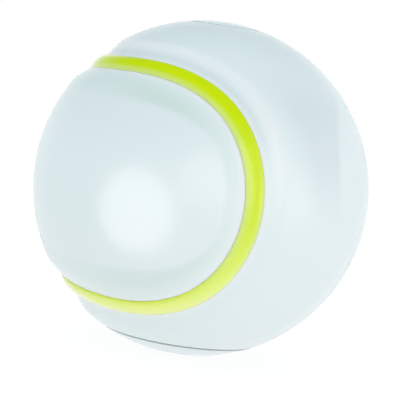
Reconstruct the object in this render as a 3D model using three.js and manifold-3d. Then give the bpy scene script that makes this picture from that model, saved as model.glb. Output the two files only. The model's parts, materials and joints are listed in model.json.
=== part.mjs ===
// Self-rolling pet ball: a milky two-panel shell with a bead in its wavy seam, and a geared pendulum inside.
// Millimetres, +Z up. The origin is the ball's centre, and Z is the drive axle: the axle is fixed at the top
// pole, and the charging port under its screw cover is at the bottom pole.
import * as THREE from "three";
import { mergeVertices } from "three/addons/utils/BufferGeometryUtils.js";
import Module from "manifold-3d";

const wasm = await Module();
wasm.setup();

// Fits
const clearance = 0.3;
const fit = 0.15;

// Shell and seam. The seam swings to both sides of the plane X = 0, twice each way round the X axis.
const ballRadius = 40;
const wall = 2.4;
const seamSwing = THREE.MathUtils.degToRad(46);
const seamLean = THREE.MathUtils.degToRad(11.6);
const seamSteps = 52;
const poleRows = 7;
const innerPoleRows = 5;
const beadRadius = 2.05;
const beadSink = 0.55;
const beadSides = 8;
const lipRadius = 2;
const shoulderDrop = 0.35;
const shoulderReach = 8;
const ribWall = 1.8;

// Screw cover and port ring at the bottom pole
const coverRadius = 18.5;
const coverRim = 2.1;
const coverWall = 2.4;
const neckRadius = 15.1;
const neckWall = 2;
const neckHeight = 5.5;
const threadStarts = 3;
const threadLead = 9;
const threadHeight = 0.8;
const threadWidth = 1.1;
const maleThreadTurn = THREE.MathUtils.degToRad(72);
const femaleThreadTurn = THREE.MathUtils.degToRad(108);
const coinSlotLength = 14;
const coinSlotWidth = 2.2;
const coinSlotDepth = 1.5;
const gasketCordRadius = 0.6;
const ringFlangeHeight = 2;
const ringTopRadius = 19;
const bearingHeight = 3.9;
const bearingStep = 1.6;

// Drive axle and its seat at the top pole
const axleRadius = 2.5;
const axleFlat = 1.9;
const plugRadius = 8.3;
const plugThickness = 1.7;
const plugSkirtRadius = 5.6;
const plugSkirtHeight = 1.7;
const plugSkirtWall = 1;
const bossFlangeRadius = 10.5;
const bossFlangeDepth = 4;
const bossRadius = 6.5;
const axleScrewRadius = 1.25;
const axleScrewLength = 9;
const axleScrewHeadRadius = 2.5;
const axleScrewHeadHeight = 1.5;
const washerRadius = 5.5;
const washerThickness = 0.6;
const bushFlange = 1.3;
const bushWall = 1.1;

// Gear train, from the motor's pinion at the first level up to the gear on the axle at the third
const gearModule = 0.6;
const pressureAngle = THREE.MathUtils.degToRad(27);
const addendum = 0.8;
const dedendum = 1.1;
const backlash = 0.14;
const pinionTeeth = 8;
const firstWheelTeeth = 28;
const secondWheelTeeth = 32;
const axleGearTeeth = 32;
const wheelWidth = 2.8;
const levelGap = 0.5;
const gearPinRadius = 1;
const gearHubRadius = 2.2;
const axleGearHubRadius = 4.2;
const axleGearHubHeight = 2.4;
const crossPinRadius = 0.6;
const gearPinSeat = 1;

// Frame of the drive unit
const plateThickness = 2;
const plateMargin = 2.2;
const postSpan = { x: 12.8, y: 6 };
const postRadius = 1.9;
const frameScrewRadius = 0.8;
const frameScrewHeadRadius = 1.8;
const frameScrewHeadHeight = 1.2;
const screwBossDepth = 4;
const screwBossFloor = 1;
const smallScrewRadius = 0.7;
const smallScrewLength = 3;
const smallScrewHeadRadius = 1.4;
const smallScrewHeadHeight = 1;
const columnInner = 11.2;
const columnThickness = 1.8;
const columnWidth = 8;
const footInner = 10;
const footOuter = 13.4;
const footHeight = 3;
const endPlateThickness = 2;
const trayThickness = 1.2;
const trayLip = 3;

// Motor, cell and weight
const motorRadius = 7.6;
const motorLength = 14.9;
const motorCapHeight = 2;
const motorBossRadius = 3;
const motorBossHeight = 1.4;
const motorShaftRadius = 0.75;
const motorShaftDepth = 7;
const motorScrewSpacing = 5.2;
const terminalReach = 1;
const terminalSize = 1.2;
const cellSize = { x: 18, y: 28, z: 6 };
const cellCorner = 1.5;
const cellCentreY = -6;
const weightGap = 1.55;
const weightDepth = 12.7;
const weightHeight = 15.2;
const weightScrewSpacing = 8;
const weightScrewInset = 7.8;
const weightScrewLength = 10;
const weightScrewRadius = 1;
const weightScrewHeadRadius = 1.9;
const weightScrewHeadHeight = 1.4;
const tongueInset = 3;
const tongueMargin = 4;
const leadRadius = 0.5;
const leadBend = 1.5;
const leadDrop = 4;
const leadSpacing = 2;
const leadReach = 2;
const leadEdge = 1.2;

// Circuit board and what it carries
const boardSize = { x: 21.8, y: 26, z: 1.1 };
const boardCorner = 2;
const boardRoom = 3.8;
const boardScrewSpot = { x: 8.6, y: 11 };
const socketSpotY = -6;
const socketSize = { x: 9, y: 3.3 };
const socketWall = 0.3;
const socketRecess = 0.4;
const socketBack = 0.8;
const tongueSize = { x: 6.6, y: 0.7 };
const buttonSpotY = 6;
const buttonRadius = 3;
const buttonFlangeRadius = 3.9;
const buttonFlangeHeight = 0.6;
const buttonProud = 1.2;
const buttonStemRadius = 1.4;
const buttonStemLength = 1.3;
const switchSize = 6;
const switchHeight = 1.8;
const switchRoof = 0.5;
const lensSpotX = 6.5;
const lensRadius = 1.5;
const ledSize = 3.2;
const ledHeight = 1.3;
const ledSpotY = 10.6;
const ledGap = 2;
const chipSize = 5;
const chipHeight = 0.9;
const chipSpotX = -6.2;
const sensorRadius = 1.4;
const sensorLength = 7;
const sensorSpotY = -10.4;

// Sizes and levels along Z that follow from the ones above. The stack inside stands on the port ring, and the
// axle's boss reaches down from the top pole to meet it.
const innerRadius = ballRadius - wall;
const sphereHeight = (radius, across) => Math.sqrt(radius * radius - across * across);
const beadCentre = ballRadius - beadSink - beadRadius;
const grooveRadius = beadRadius + fit;
const ribFloor = beadCentre - grooveRadius - ribWall;
const ribReach = grooveRadius + 2 * ribWall;
const coverEdge = -sphereHeight(ballRadius, coverRadius);
const coverSeat = coverEdge + coverRim;
const coverFloor = -sphereHeight(ballRadius, neckRadius - neckWall) + coverWall;
const neckTop = coverSeat + neckHeight;
const gasketRadius = (coverRadius + neckRadius + threadHeight) / 2;
const gasketLevel = coverSeat + fit + gasketCordRadius;
const ringFoot = gasketLevel + gasketCordRadius + clearance;
const ringFlangeRadius = innerRadius * Math.sin(nearestSeam() - ribReach / ballRadius) - 2 * clearance;
const collarTop = -sphereHeight(innerRadius - wall / 2, ringFlangeRadius);
const ringSeat = collarTop + clearance;
const ringBore = neckRadius + threadHeight + clearance;
const bearingBottom = neckTop + 2 * clearance;
const bearingTop = bearingBottom + bearingHeight;
const bearingRadius = ringBore - bearingStep;
const endPlateRadius = bearingRadius - clearance;
const endPlateBottom = bearingBottom + clearance;
const endPlateTop = endPlateBottom + endPlateThickness;
const boardBottom = endPlateTop + boardRoom;
const boardTop = boardBottom + boardSize.z;
const trayBottom = boardTop + clearance;
const trayTop = trayBottom + trayThickness;
const cellTop = trayTop + clearance + cellSize.z;
const motorBottom = cellTop + 2 * clearance;
const motorTop = motorBottom + motorLength;
const platformBottom = motorTop + clearance;
const platformTop = platformBottom + plateThickness;
const platformRadius = Math.hypot(postSpan.x, postSpan.y) + plateMargin;
const firstLevel = platformTop + levelGap;
const secondLevel = firstLevel + wheelWidth + levelGap;
const thirdLevel = secondLevel + wheelWidth + levelGap;
const axleGearTop = thirdLevel + wheelWidth;
const axleHubTop = axleGearTop + axleGearHubHeight;
const crossPinLevel = (axleGearTop + axleHubTop) / 2;
const axleBottom = thirdLevel - fit;
const upperPlateBottom = axleHubTop + 2 * clearance;
const upperPlateTop = upperPlateBottom + plateThickness;
const bushTop = upperPlateTop + fit + bushFlange;
const bossBottom = bushTop + washerThickness + 2 * clearance;
const recessFloor = ballRadius - plugThickness - clearance;
const skirtFloor = recessFloor - plugSkirtHeight - clearance;
const axleTop = skirtFloor - wall - fit;
const weightReach = ribFloor - weightGap;
const pitchRadius = (teeth) => (gearModule * teeth) / 2;
const secondGearSpot = { x: 0, y: pitchRadius(axleGearTeeth) + pitchRadius(pinionTeeth) };
const motorSpot = { x: 0, y: -pitchRadius(firstWheelTeeth) - pitchRadius(pinionTeeth) };

// Finishes
function finish(color, roughness, metalness = 0, extra = {}) {
  return new THREE.MeshStandardMaterial({ color, roughness, metalness, ...extra });
}
const milky = finish("#dfe9ea", 0.35, 0, { transparent: true, opacity: 0.85 });
const lime = finish("#c3de1e", 0.45);
const rubber = finish("#3a3d3f", 0.8);
const steel = finish("#b9bcc0", 0.35, 1);
const bronze = finish("#b08d57", 0.4, 1);
const whitePlastic = finish("#eef0ee", 0.5);
const acetal = finish("#f4f1e6", 0.4);
const greyPlastic = finish("#9aa0a3", 0.5);
const blackPlastic = finish("#202224", 0.5);
const boardGreen = finish("#2f7d4f", 0.55);
const foil = finish("#c9ced3", 0.45, 0.6);
const lensClear = finish("#f7fbff", 0.15, 0, { transparent: true, opacity: 0.7 });
const redLead = finish("#c8352f", 0.5);
const blackLead = finish("#26282a", 0.5);

// A closed mesh as a solid that can be joined and cut.
function solidOf(geometry) {
  const bare = new THREE.BufferGeometry();
  bare.setAttribute("position", geometry.getAttribute("position"));
  bare.setIndex(geometry.getIndex());
  const merged = mergeVertices(bare, 1e-4);
  const vertProperties = merged.getAttribute("position").array;
  const triVerts = new Uint32Array(merged.getIndex().array);
  return new wasm.Manifold(new wasm.Mesh({ numProp: 3, vertProperties, triVerts }));
}

function geometryOf(solid) {
  const { vertProperties, triVerts } = solid.getMesh();
  const geometry = new THREE.BufferGeometry();
  geometry.setAttribute("position", new THREE.BufferAttribute(vertProperties, 3));
  geometry.setIndex(new THREE.BufferAttribute(triVerts, 1));
  geometry.computeVertexNormals();
  return geometry;
}

function join(...pieces) {
  const [first, ...rest] = pieces.map(solidOf);
  return geometryOf(rest.reduce((solid, piece) => solid.add(piece), first));
}

function cut(piece, ...tools) {
  return geometryOf(tools.map(solidOf).reduce((solid, tool) => solid.subtract(tool), solidOf(piece)));
}

function common(piece, other) {
  return geometryOf(solidOf(piece).intersect(solidOf(other)));
}

// A round bar along Z.
function rod(radius, bottom, top, { x = 0, y = 0, sides = 16 } = {}) {
  const bar = new THREE.CylinderGeometry(radius, radius, top - bottom, sides);
  return bar.rotateX(Math.PI / 2).translate(x, y, (bottom + top) / 2);
}

// A box between two corners.
function block(low, high) {
  const size = high.map((value, axis) => value - low[axis]);
  const centre = high.map((value, axis) => (value + low[axis]) / 2);
  return new THREE.BoxGeometry(...size).translate(...centre);
}

// A profile of [radius, height] points turned about Z. It closes on itself unless both ends are on the axis.
function turned(profile, sides = 32) {
  const onAxis = profile[0][0] === 0 && profile.at(-1)[0] === 0;
  const loop = onAxis ? profile : [...profile, profile[0]];
  const twiceArea = loop.slice(1).reduce((sum, [r, z], i) => sum + loop[i][0] * z - r * loop[i][1], 0);
  const ordered = twiceArea > 0 ? loop : loop.toReversed();
  const lathe = new THREE.LatheGeometry(ordered.map(([r, z]) => new THREE.Vector2(r, z)), sides);
  return lathe.rotateX(Math.PI / 2);
}

// A plain ring about Z.
function ring(inner, outer, bottom, top, sides = 28) {
  return turned([[inner, bottom], [outer, bottom], [outer, top], [inner, top]], sides);
}

// Points on a circle about the origin in the [radius, height] plane, from one radius out to another.
function dome(sphereRadius, fromAcross, toAcross, side, steps) {
  const start = Math.asin(fromAcross / sphereRadius);
  const end = Math.asin(toAcross / sphereRadius);
  return Array.from({ length: steps + 1 }, (_, i) => {
    const angle = THREE.MathUtils.lerp(start, end, i / steps);
    return [sphereRadius * Math.sin(angle), side * sphereRadius * Math.cos(angle)];
  });
}

// The seam as a unit vector, and the direction across it that points to the +X side.
function seamAt(turn) {
  const swing = seamSwing * Math.cos(2 * turn);
  const sweep = turn + seamLean * Math.sin(4 * turn);
  const flat = Math.cos(swing);
  return new THREE.Vector3(Math.sin(swing), flat * Math.cos(sweep), flat * Math.sin(sweep));
}

function seamFrame(step) {
  const turn = (2 * Math.PI * step) / seamSteps;
  const nudge = 1e-4;
  const out = seamAt(turn);
  const along = seamAt(turn + nudge).sub(seamAt(turn - nudge)).normalize();
  const across = new THREE.Vector3().crossVectors(along, out).normalize();
  return { out, across: across.x > 0 ? across : across.negate() };
}

// The least angle between the seam and the poles on the axle.
function nearestSeam() {
  const steps = Array.from({ length: seamSteps }, (_, step) => seamFrame(step).out);
  return Math.min(...steps.map((out) => Math.acos(Math.abs(out.z))));
}

// A skin through closed rings of points, with each quad split along its shorter diagonal. A ring of one point
// closes an end; with no end points, the last ring joins the first.
function skin(rings) {
  const points = rings.flat();
  const starts = rings.map((_, i) => rings.slice(0, i).reduce((sum, r) => sum + r.length, 0));
  const faces = [];
  const closed = rings[0].length > 1;
  const bands = closed ? rings.length : rings.length - 1;
  for (let i = 0; i < bands; i++) {
    const j = (i + 1) % rings.length;
    const count = Math.max(rings[i].length, rings[j].length);
    for (let k = 0; k < count; k++) {
      const next = (k + 1) % count;
      const spot = (row, column) => starts[row] + (rings[row].length > 1 ? column : 0);
      const [a, b, c, d] = [spot(i, k), spot(i, next), spot(j, next), spot(j, k)];
      const shorter = points[a].distanceTo(points[c]) < points[b].distanceTo(points[d]);
      if (a === b) faces.push(a, c, d);
      else if (c === d) faces.push(a, b, c);
      else faces.push(...(shorter ? [a, b, c, a, c, d] : [a, b, d, b, c, d]));
    }
  }
  const geometry = new THREE.BufferGeometry().setFromPoints(points);
  geometry.setIndex(faces);
  return outward(geometry);
}

// The same mesh with its faces turned to point outwards.
function outward(geometry) {
  const spots = geometry.getAttribute("position");
  const index = geometry.getIndex().array;
  const corner = (i) => new THREE.Vector3().fromBufferAttribute(spots, index[i]);
  let volume = 0;
  for (let i = 0; i < index.length; i += 3) volume += corner(i).dot(corner(i + 1).cross(corner(i + 2)));
  if (volume < 0) geometry.setIndex(Array.from(index).reverse());
  geometry.computeVertexNormals();
  return geometry;
}

// Rows of [distance from the seam, radius] across one side of the groove, from the split to the plain sphere.
function outerRows() {
  const rows = [[clearance / 2, beadCentre - grooveRadius]];
  for (const angle of [-45, 0].map(THREE.MathUtils.degToRad)) {
    rows.push([grooveRadius * Math.cos(angle), beadCentre + grooveRadius * Math.sin(angle)]);
  }
  const lipCentre = [grooveRadius + lipRadius, ballRadius - shoulderDrop - lipRadius];
  for (const angle of [180, 135, 90].map(THREE.MathUtils.degToRad)) {
    rows.push([lipCentre[0] + lipRadius * Math.cos(angle), lipCentre[1] + lipRadius * Math.sin(angle)]);
  }
  rows.push([shoulderReach, ballRadius]);
  return rows;
}

function innerRows() {
  return [
    [clearance / 2, ribFloor],
    [grooveRadius + ribWall / 2, ribFloor + ribWall / 2],
    [ribReach, innerRadius],
  ];
}

// One surface of a panel: rows that follow the seam, then rows that close on the pole at +X or -X.
function panelRings(rows, fillRows, side) {
  const frames = Array.from({ length: seamSteps }, (_, step) => seamFrame(step));
  const pole = new THREE.Vector3(side, 0, 0);
  const offset = ({ out, across }, distance) => {
    const angle = distance / ballRadius;
    return out.clone().multiplyScalar(Math.cos(angle)).addScaledVector(across, side * Math.sin(angle));
  };
  const rings = rows.map(([distance, radius]) => (
    frames.map((frame) => offset(frame, distance).multiplyScalar(radius))
  ));
  const [lastDistance, radius] = rows.at(-1);
  for (let row = 1; row < fillRows; row++) {
    rings.push(frames.map((frame) => {
      const from = offset(frame, lastDistance);
      const axis = new THREE.Vector3().crossVectors(from, pole).normalize();
      return from.applyAxisAngle(axis, (from.angleTo(pole) * row) / fillRows).multiplyScalar(radius);
    }));
  }
  rings.push([pole.multiplyScalar(radius)]);
  return rings;
}

function panelBlank(side) {
  const outer = panelRings(outerRows(), poleRows, side);
  const inner = panelRings(innerRows(), innerPoleRows, side);
  return skin([...inner.toReversed(), ...outer]);
}

// The panel that reaches both poles: it has the axle boss at the top and the port's round hole at the bottom.
function portPanel() {
  const bossTop = innerRadius + wall / 2;
  const bossShelf = innerRadius - bossFlangeDepth;
  const boss = turned([
    [0, bossBottom], [bossRadius, bossBottom], [bossRadius, bossShelf],
    [bossFlangeRadius, bossShelf + bossFlangeRadius - bossRadius],
    [bossFlangeRadius, sphereHeight(bossTop, bossFlangeRadius)], [0, sphereHeight(bossTop, bossFlangeRadius)],
  ], 24);
  const socketBar = rod(axleRadius + fit, bossBottom - wall, axleTop + fit);
  const reach = axleRadius + wall;
  const collar = ring(coverRadius, ringFlangeRadius + clearance, coverSeat, collarTop);
  const socket = common(
    socketBar,
    block([-reach, -reach, bossBottom - wall], [axleFlat + fit, reach, axleTop + fit]),
  );
  return cut(
    join(panelBlank(1), boss, collar),
    rod(plugRadius + clearance, recessFloor, ballRadius + wall, { sides: 28 }),
    rod(plugSkirtRadius + clearance, skirtFloor, recessFloor + wall),
    rod(axleScrewRadius + clearance, axleTop, skirtFloor + wall),
    socket,
    rod(coverRadius + clearance, -ballRadius - wall, collarTop + wall, { sides: 40 }),
  );
}

function seamBead() {
  const rings = Array.from({ length: seamSteps }, (_, step) => {
    const { out, across } = seamFrame(step);
    return Array.from({ length: beadSides }, (_, side) => {
      const angle = (2 * Math.PI * side) / beadSides;
      const centre = out.clone().multiplyScalar(beadCentre);
      centre.addScaledVector(out, beadRadius * Math.cos(angle));
      return centre.addScaledVector(across, beadRadius * Math.sin(angle));
    });
  });
  return skin(rings);
}

// One start of a right-hand thread: a ridge from a root radius to a crest radius, climbing with its turn.
function threadRidge(root, crest, foot, startTurn, turn) {
  const steps = Math.ceil(turn / THREE.MathUtils.degToRad(12));
  const half = threadWidth / 2;
  const section = [[root, -half], [crest, -half / 2], [crest, half / 2], [root, half]];
  const rings = Array.from({ length: steps + 1 }, (_, i) => {
    const swept = (turn * i) / steps;
    const rise = foot + (threadLead * swept) / (2 * Math.PI);
    const angle = startTurn + swept;
    return section.map(([r, z]) => new THREE.Vector3(r * Math.cos(angle), r * Math.sin(angle), rise + z));
  });
  const middle = (points) => {
    const sum = points.reduce((total, point) => total.add(point), new THREE.Vector3());
    return sum.divideScalar(points.length);
  };
  return skin([[middle(rings[0])], ...rings, [middle(rings.at(-1))]]);
}

const threadPitch = threadLead / threadStarts;
const threadFoot = ringFoot + threadWidth / 2 + fit;
const starts = Array.from({ length: threadStarts }, (_, i) => (2 * Math.PI * i) / threadStarts);

// The ridges inside the ring hold the cover's ridges up: they run half a pitch below them.
function portRing() {
  const body = turned([
    [ringBore, ringFoot],
    [coverRadius, ringFoot],
    [coverRadius, ringSeat],
    [ringFlangeRadius, ringSeat],
    [ringFlangeRadius, ringSeat + ringFlangeHeight],
    [ringTopRadius, bearingTop],
    [bearingRadius, bearingTop],
    [bearingRadius, bearingBottom],
    [ringBore, bearingBottom],
  ]);
  const ridges = starts.map((turn) => (
    threadRidge(ringBore + fit, ringBore - threadHeight, threadFoot, turn, femaleThreadTurn)
  ));
  return join(body, ...ridges);
}

function portCover() {
  const cavity = neckRadius - neckWall;
  const body = turned([
    ...dome(ballRadius, 0, coverRadius, -1, 6),
    [coverRadius, coverSeat], [neckRadius, coverSeat], [neckRadius, neckTop],
    [cavity, neckTop], [cavity, coverFloor], [0, coverFloor],
  ]);
  const lag = Math.PI / (2 * threadStarts);
  const foot = threadFoot + threadPitch / 4;
  const ridges = starts.map((turn) => (
    threadRidge(neckRadius - fit, neckRadius + threadHeight, foot, turn - lag, maleThreadTurn)
  ));
  const slot = block(
    [-coinSlotLength / 2, -coinSlotWidth / 2, -ballRadius - wall],
    [coinSlotLength / 2, coinSlotWidth / 2, -ballRadius + coinSlotDepth],
  );
  return cut(join(body, ...ridges), slot);
}

function coverGasket() {
  const sides = 6;
  const section = Array.from({ length: sides }, (_, i) => {
    const angle = (2 * Math.PI * i) / sides;
    const across = gasketCordRadius * Math.cos(angle);
    return [gasketRadius + across, gasketLevel + gasketCordRadius * Math.sin(angle)];
  });
  return turned(section);
}

function polePlug() {
  const underside = recessFloor + clearance;
  const skirtInner = plugSkirtRadius - plugSkirtWall;
  return turned([
    [0, underside], [skirtInner, underside], [skirtInner, underside - plugSkirtHeight],
    [plugSkirtRadius, underside - plugSkirtHeight], [plugSkirtRadius, underside], [plugRadius, underside],
    ...dome(ballRadius, 0, plugRadius, 1, 3).toReversed(),
  ], 28);
}

// A screw with a round head on a shank along Z. The head is at the top, or at the bottom if its side is -1.
function screw({ shank, length, head, height, side = 1 }) {
  const bar = rod(shank, -length, fit, { sides: 8 });
  const cap = rod(head, 0, height, { sides: 10 });
  const made = join(bar, cap);
  return side > 0 ? made : made.rotateX(Math.PI);
}

// An involute gear's outline with its first tooth at a given angle.
function gearOutline(teeth, turn) {
  const pitch = pitchRadius(teeth);
  const base = pitch * Math.cos(pressureAngle);
  const involute = (radius) => {
    const roll = Math.acos(Math.min(1, base / radius));
    return Math.tan(roll) - roll;
  };
  const halfTooth = (radius) => (
    Math.PI / (2 * teeth) - backlash / (2 * pitch) + involute(pitch) - involute(Math.max(radius, base))
  );
  const root = pitch - dedendum * gearModule;
  const tip = pitch + addendum * gearModule;
  const radii = teeth > pinionTeeth ? [root, tip] : [root, pitch, tip];
  const points = [];
  for (let tooth = 0; tooth < teeth; tooth++) {
    const centre = turn + (2 * Math.PI * tooth) / teeth;
    const rising = radii.map((radius) => [radius, centre - halfTooth(radius)]);
    const falling = radii.map((radius) => [radius, centre + halfTooth(radius)]).toReversed();
    for (const [radius, angle] of [...rising, ...falling]) {
      points.push(new THREE.Vector2(radius * Math.cos(angle), radius * Math.sin(angle)));
    }
  }
  return new THREE.Shape(points);
}

function gearWheel(teeth, turn, bottom, top) {
  const options = { depth: top - bottom, bevelEnabled: false };
  return new THREE.ExtrudeGeometry(gearOutline(teeth, turn), options).translate(0, 0, bottom);
}

const towardsBack = Math.PI / 2;
const towardsFront = -Math.PI / 2;
const halfPinionPitch = Math.PI / pinionTeeth;

// The gear that is pinned to the axle: the drive unit walks round it.
function axleGear() {
  const pinHole = rod(crossPinRadius + fit, -ballRadius, ballRadius).rotateY(Math.PI / 2);
  return cut(
    join(
      gearWheel(axleGearTeeth, towardsBack, thirdLevel, axleGearTop),
      rod(axleGearHubRadius, axleGearTop - fit, axleHubTop, { sides: 28 }),
    ),
    rod(axleRadius + fit, thirdLevel - wall, axleHubTop + wall),
    pinHole.translate(0, 0, crossPinLevel),
  );
}

function crossPin() {
  const half = axleGearHubRadius - fit;
  return rod(crossPinRadius, -half, half, { sides: 10 }).rotateY(Math.PI / 2);
}

function driveAxle() {
  const reach = axleRadius + wall;
  return cut(
    rod(axleRadius, axleBottom, axleTop),
    block([axleFlat, -reach, bossBottom], [reach, reach, axleTop + wall]),
    rod(axleScrewRadius + clearance, axleTop - axleScrewLength, axleTop + wall, { sides: 10 }),
    rod(crossPinRadius + fit, -reach, reach).rotateY(Math.PI / 2).translate(0, 0, crossPinLevel),
  );
}

// A wheel with a pinion above it, on a bore that turns on a fixed pin.
function compoundGear({ teeth, wheelTurn, pinionTurn, hubBottom, wheelBottom, pinionTop, hubTop }) {
  const wheelTop = wheelBottom + wheelWidth;
  return cut(
    join(
      rod(gearHubRadius, hubBottom, wheelBottom + fit),
      gearWheel(teeth, wheelTurn, wheelBottom, wheelTop),
      gearWheel(pinionTeeth, pinionTurn, wheelTop - fit, pinionTop),
      ...(hubTop > pinionTop ? [rod(gearHubRadius, pinionTop - fit, hubTop)] : []),
    ),
    rod(gearPinRadius + clearance, hubBottom - wall, hubTop + wall, { sides: 10 }),
  );
}

function firstGear() {
  const pinionTop = secondLevel + wheelWidth;
  return compoundGear({
    teeth: firstWheelTeeth, wheelTurn: towardsFront, pinionTurn: towardsBack + halfPinionPitch,
    hubBottom: platformTop + clearance, wheelBottom: firstLevel, pinionTop, hubTop: pinionTop,
  });
}

function secondGear() {
  return compoundGear({
    teeth: secondWheelTeeth, wheelTurn: towardsFront, pinionTurn: towardsFront + halfPinionPitch,
    hubBottom: platformTop + clearance, wheelBottom: secondLevel,
    pinionTop: axleGearTop + clearance, hubTop: upperPlateBottom - clearance,
  });
}

function motorPinion() {
  return cut(
    gearWheel(pinionTeeth, towardsBack + halfPinionPitch, firstLevel - fit, firstLevel + wheelWidth),
    rod(motorShaftRadius + fit, platformTop, axleTop, { sides: 10 }),
  );
}

// Corners of the drive frame where the plates are held apart by posts.
const corners = [[1, 1], [-1, 1], [-1, -1], [1, -1]];
const postSpots = corners.map(([x, y]) => ({ x: x * postSpan.x, y: y * postSpan.y }));
const footSpots = [1, -1].map((side) => ({ x: (side * (footInner + footOuter)) / 2, y: 0 }));
const motorScrewSpots = [1, -1].map((side) => ({ x: side * motorScrewSpacing, y: motorSpot.y }));
const weightScrewY = weightScrewInset - weightReach;
const weightScrewSpots = [1, -1].map((side) => ({ x: side * weightScrewSpacing, y: weightScrewY }));
const boardScrewSpots = [1, -1].map((side) => ({ x: side * boardScrewSpot.x, y: boardScrewSpot.y }));
const smallScrew = {
  shank: smallScrewRadius, length: smallScrewLength, head: smallScrewHeadRadius, height: smallScrewHeadHeight,
};
const screwBossBottom = platformBottom - screwBossDepth;

// The moulded carrier: gear platform on top, two columns to the end plate, and the cell's tray between them.
function chassis() {
  const half = columnWidth / 2;
  const platform = rod(platformRadius, platformBottom, platformTop, { sides: 40 });
  const footBottom = endPlateTop + fit;
  const tongueHalf = weightScrewSpacing + tongueMargin;
  const tongue = common(
    rod(weightReach - tongueInset, platformBottom, platformTop, { sides: 40 }),
    block([-tongueHalf, -weightReach, platformBottom], [tongueHalf, 0, platformTop]),
  );
  const columns = [1, -1].flatMap((side) => {
    const span = (inner, outer) => [side * inner, side * outer].sort((a, b) => a - b);
    const [x0, x1] = span(columnInner, columnInner + columnThickness);
    const [foot0, foot1] = span(footInner, footOuter);
    return [
      block([x0, -half, footBottom], [x1, half, platformTop - fit]),
      block([foot0, -half, footBottom], [foot1, half, footBottom + footHeight]),
    ];
  });
  const trayHalf = columnInner + fit;
  const lipHalf = cellSize.x / 4;
  const trayFront = cellCentreY - cellSize.y / 2 - clearance - trayThickness;
  const trayBack = cellCentreY + cellSize.y / 2 + clearance + trayThickness;
  const tray = [
    block([-trayHalf, trayFront, trayBottom], [trayHalf, trayBack, trayTop]),
    block([-lipHalf, trayFront, trayBottom], [lipHalf, trayFront + trayThickness, trayTop + trayLip]),
    block([lipHalf, trayBack - trayThickness, trayBottom], [trayHalf, trayBack, trayTop + trayLip]),
    block([-trayHalf, trayBack - trayThickness, trayBottom], [-lipHalf, trayBack, trayTop + trayLip]),
  ];
  const bosses = postSpots.map((spot) => (
    rod(plateMargin, screwBossBottom, platformTop - fit, spot)
  ));
  const leadNotches = [1, -1].map((side) => {
    const inner = side * (cellSize.x / 2 + clearance);
    const outer = side * (trayHalf + wall);
    const edge = 2 * leadRadius;
    return block(
      [Math.min(inner, outer), motorSpot.y - edge, trayBottom - wall],
      [Math.max(inner, outer), motorSpot.y + edge, trayTop + wall],
    );
  });
  const through = [platformBottom - wall, platformTop + wall];
  const bores = (spots, radius, bottom, top) => (
    spots.map((spot) => rod(radius + clearance, bottom, top, { ...spot, sides: 10 }))
  );
  const holes = [
    rod(motorBossRadius + clearance, ...through, { ...motorSpot, sides: 24 }),
    rod(gearPinRadius + fit, ...through, { sides: 10 }),
    rod(gearPinRadius + fit, ...through, { ...secondGearSpot, sides: 10 }),
    ...bores(postSpots, frameScrewRadius, screwBossBottom + screwBossFloor, platformTop + wall),
    ...bores(motorScrewSpots, smallScrew.shank, ...through),
    ...bores(weightScrewSpots, weightScrewRadius, ...through),
    ...bores(footSpots, smallScrew.shank, footBottom - wall, footBottom + footHeight - fit),
    ...bores(boardScrewSpots, smallScrew.shank, trayBottom - wall, trayTop + trayLip - fit),
    ...leadNotches,
  ];
  return cut(
    join(platform, tongue, ...columns, ...tray, ...bosses),
    ...holes,
  );
}

function upperPlate() {
  return cut(
    rod(platformRadius, upperPlateBottom, upperPlateTop, { sides: 40 }),
    rod(axleRadius + fit + bushWall + fit, upperPlateBottom - wall, upperPlateTop + wall, { sides: 24 }),
    rod(gearPinRadius + fit, upperPlateBottom - wall, upperPlateBottom + gearPinSeat + fit,
      { ...secondGearSpot, sides: 10 }),
    ...postSpots.map((s) => (
      rod(frameScrewRadius + clearance, upperPlateBottom - wall, upperPlateTop + wall, { ...s, sides: 10 })
    )),
  );
}

function upperBush() {
  const bore = axleRadius + fit;
  const seat = upperPlateTop + fit;
  return turned([
    [bore, upperPlateBottom], [bore + bushWall, upperPlateBottom], [bore + bushWall, seat],
    [washerRadius, seat], [washerRadius, bushTop], [bore, bushTop],
  ], 24);
}

function gearPost() {
  const length = upperPlateBottom - platformTop - 2 * fit;
  return ring(frameScrewRadius + clearance, postRadius, 0, length, 12);
}

function motorCan() {
  const bottom = motorCapHeight + fit;
  return cut(
    join(rod(motorRadius, bottom, motorLength, { sides: 32 }),
      rod(motorBossRadius, motorLength - fit, motorLength + motorBossHeight, { sides: 24 })),
    rod(motorShaftRadius + clearance, motorLength - motorShaftDepth, motorLength + wall, { sides: 10 }),
    ...[1, -1].map((side) => (
      rod(smallScrew.shank + clearance, motorLength - smallScrew.length, motorLength + wall,
        { x: side * motorScrewSpacing, sides: 10 })
    )),
  );
}

// The motor's rear cap, with a terminal tab on each side.
function motorCap() {
  const half = terminalSize / 2;
  const reach = motorRadius + terminalReach;
  const tabs = block([-reach, -half, half], [reach, half, half + terminalSize / 2]);
  return join(rod(motorRadius, 0, motorCapHeight, { sides: 32 }), tabs);
}

// The pendulum weight follows the shell's inside, with a flat face that is scalloped round the motor.
function counterweight() {
  const top = motorTop;
  const bottom = top - weightHeight;
  const rows = 6;
  const rim = Array.from({ length: rows + 1 }, (_, i) => {
    const level = THREE.MathUtils.lerp(bottom, top, i / rows);
    return [sphereHeight(weightReach, level), level];
  });
  const disc = turned([[0, bottom], ...rim, [0, top]], 64);
  const face = weightDepth - weightReach;
  const front = block([-ballRadius, -ballRadius, bottom - wall], [ballRadius, face, top + wall]);
  return cut(
    common(disc, front),
    rod(motorRadius + 2 * clearance, bottom - wall, top + wall, { ...motorSpot, sides: 32 }),
    ...weightScrewSpots.map((s) => (
      rod(weightScrewRadius + clearance, platformTop - weightScrewLength - clearance, top + wall,
        { ...s, sides: 10 })
    )),
  );
}

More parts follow.
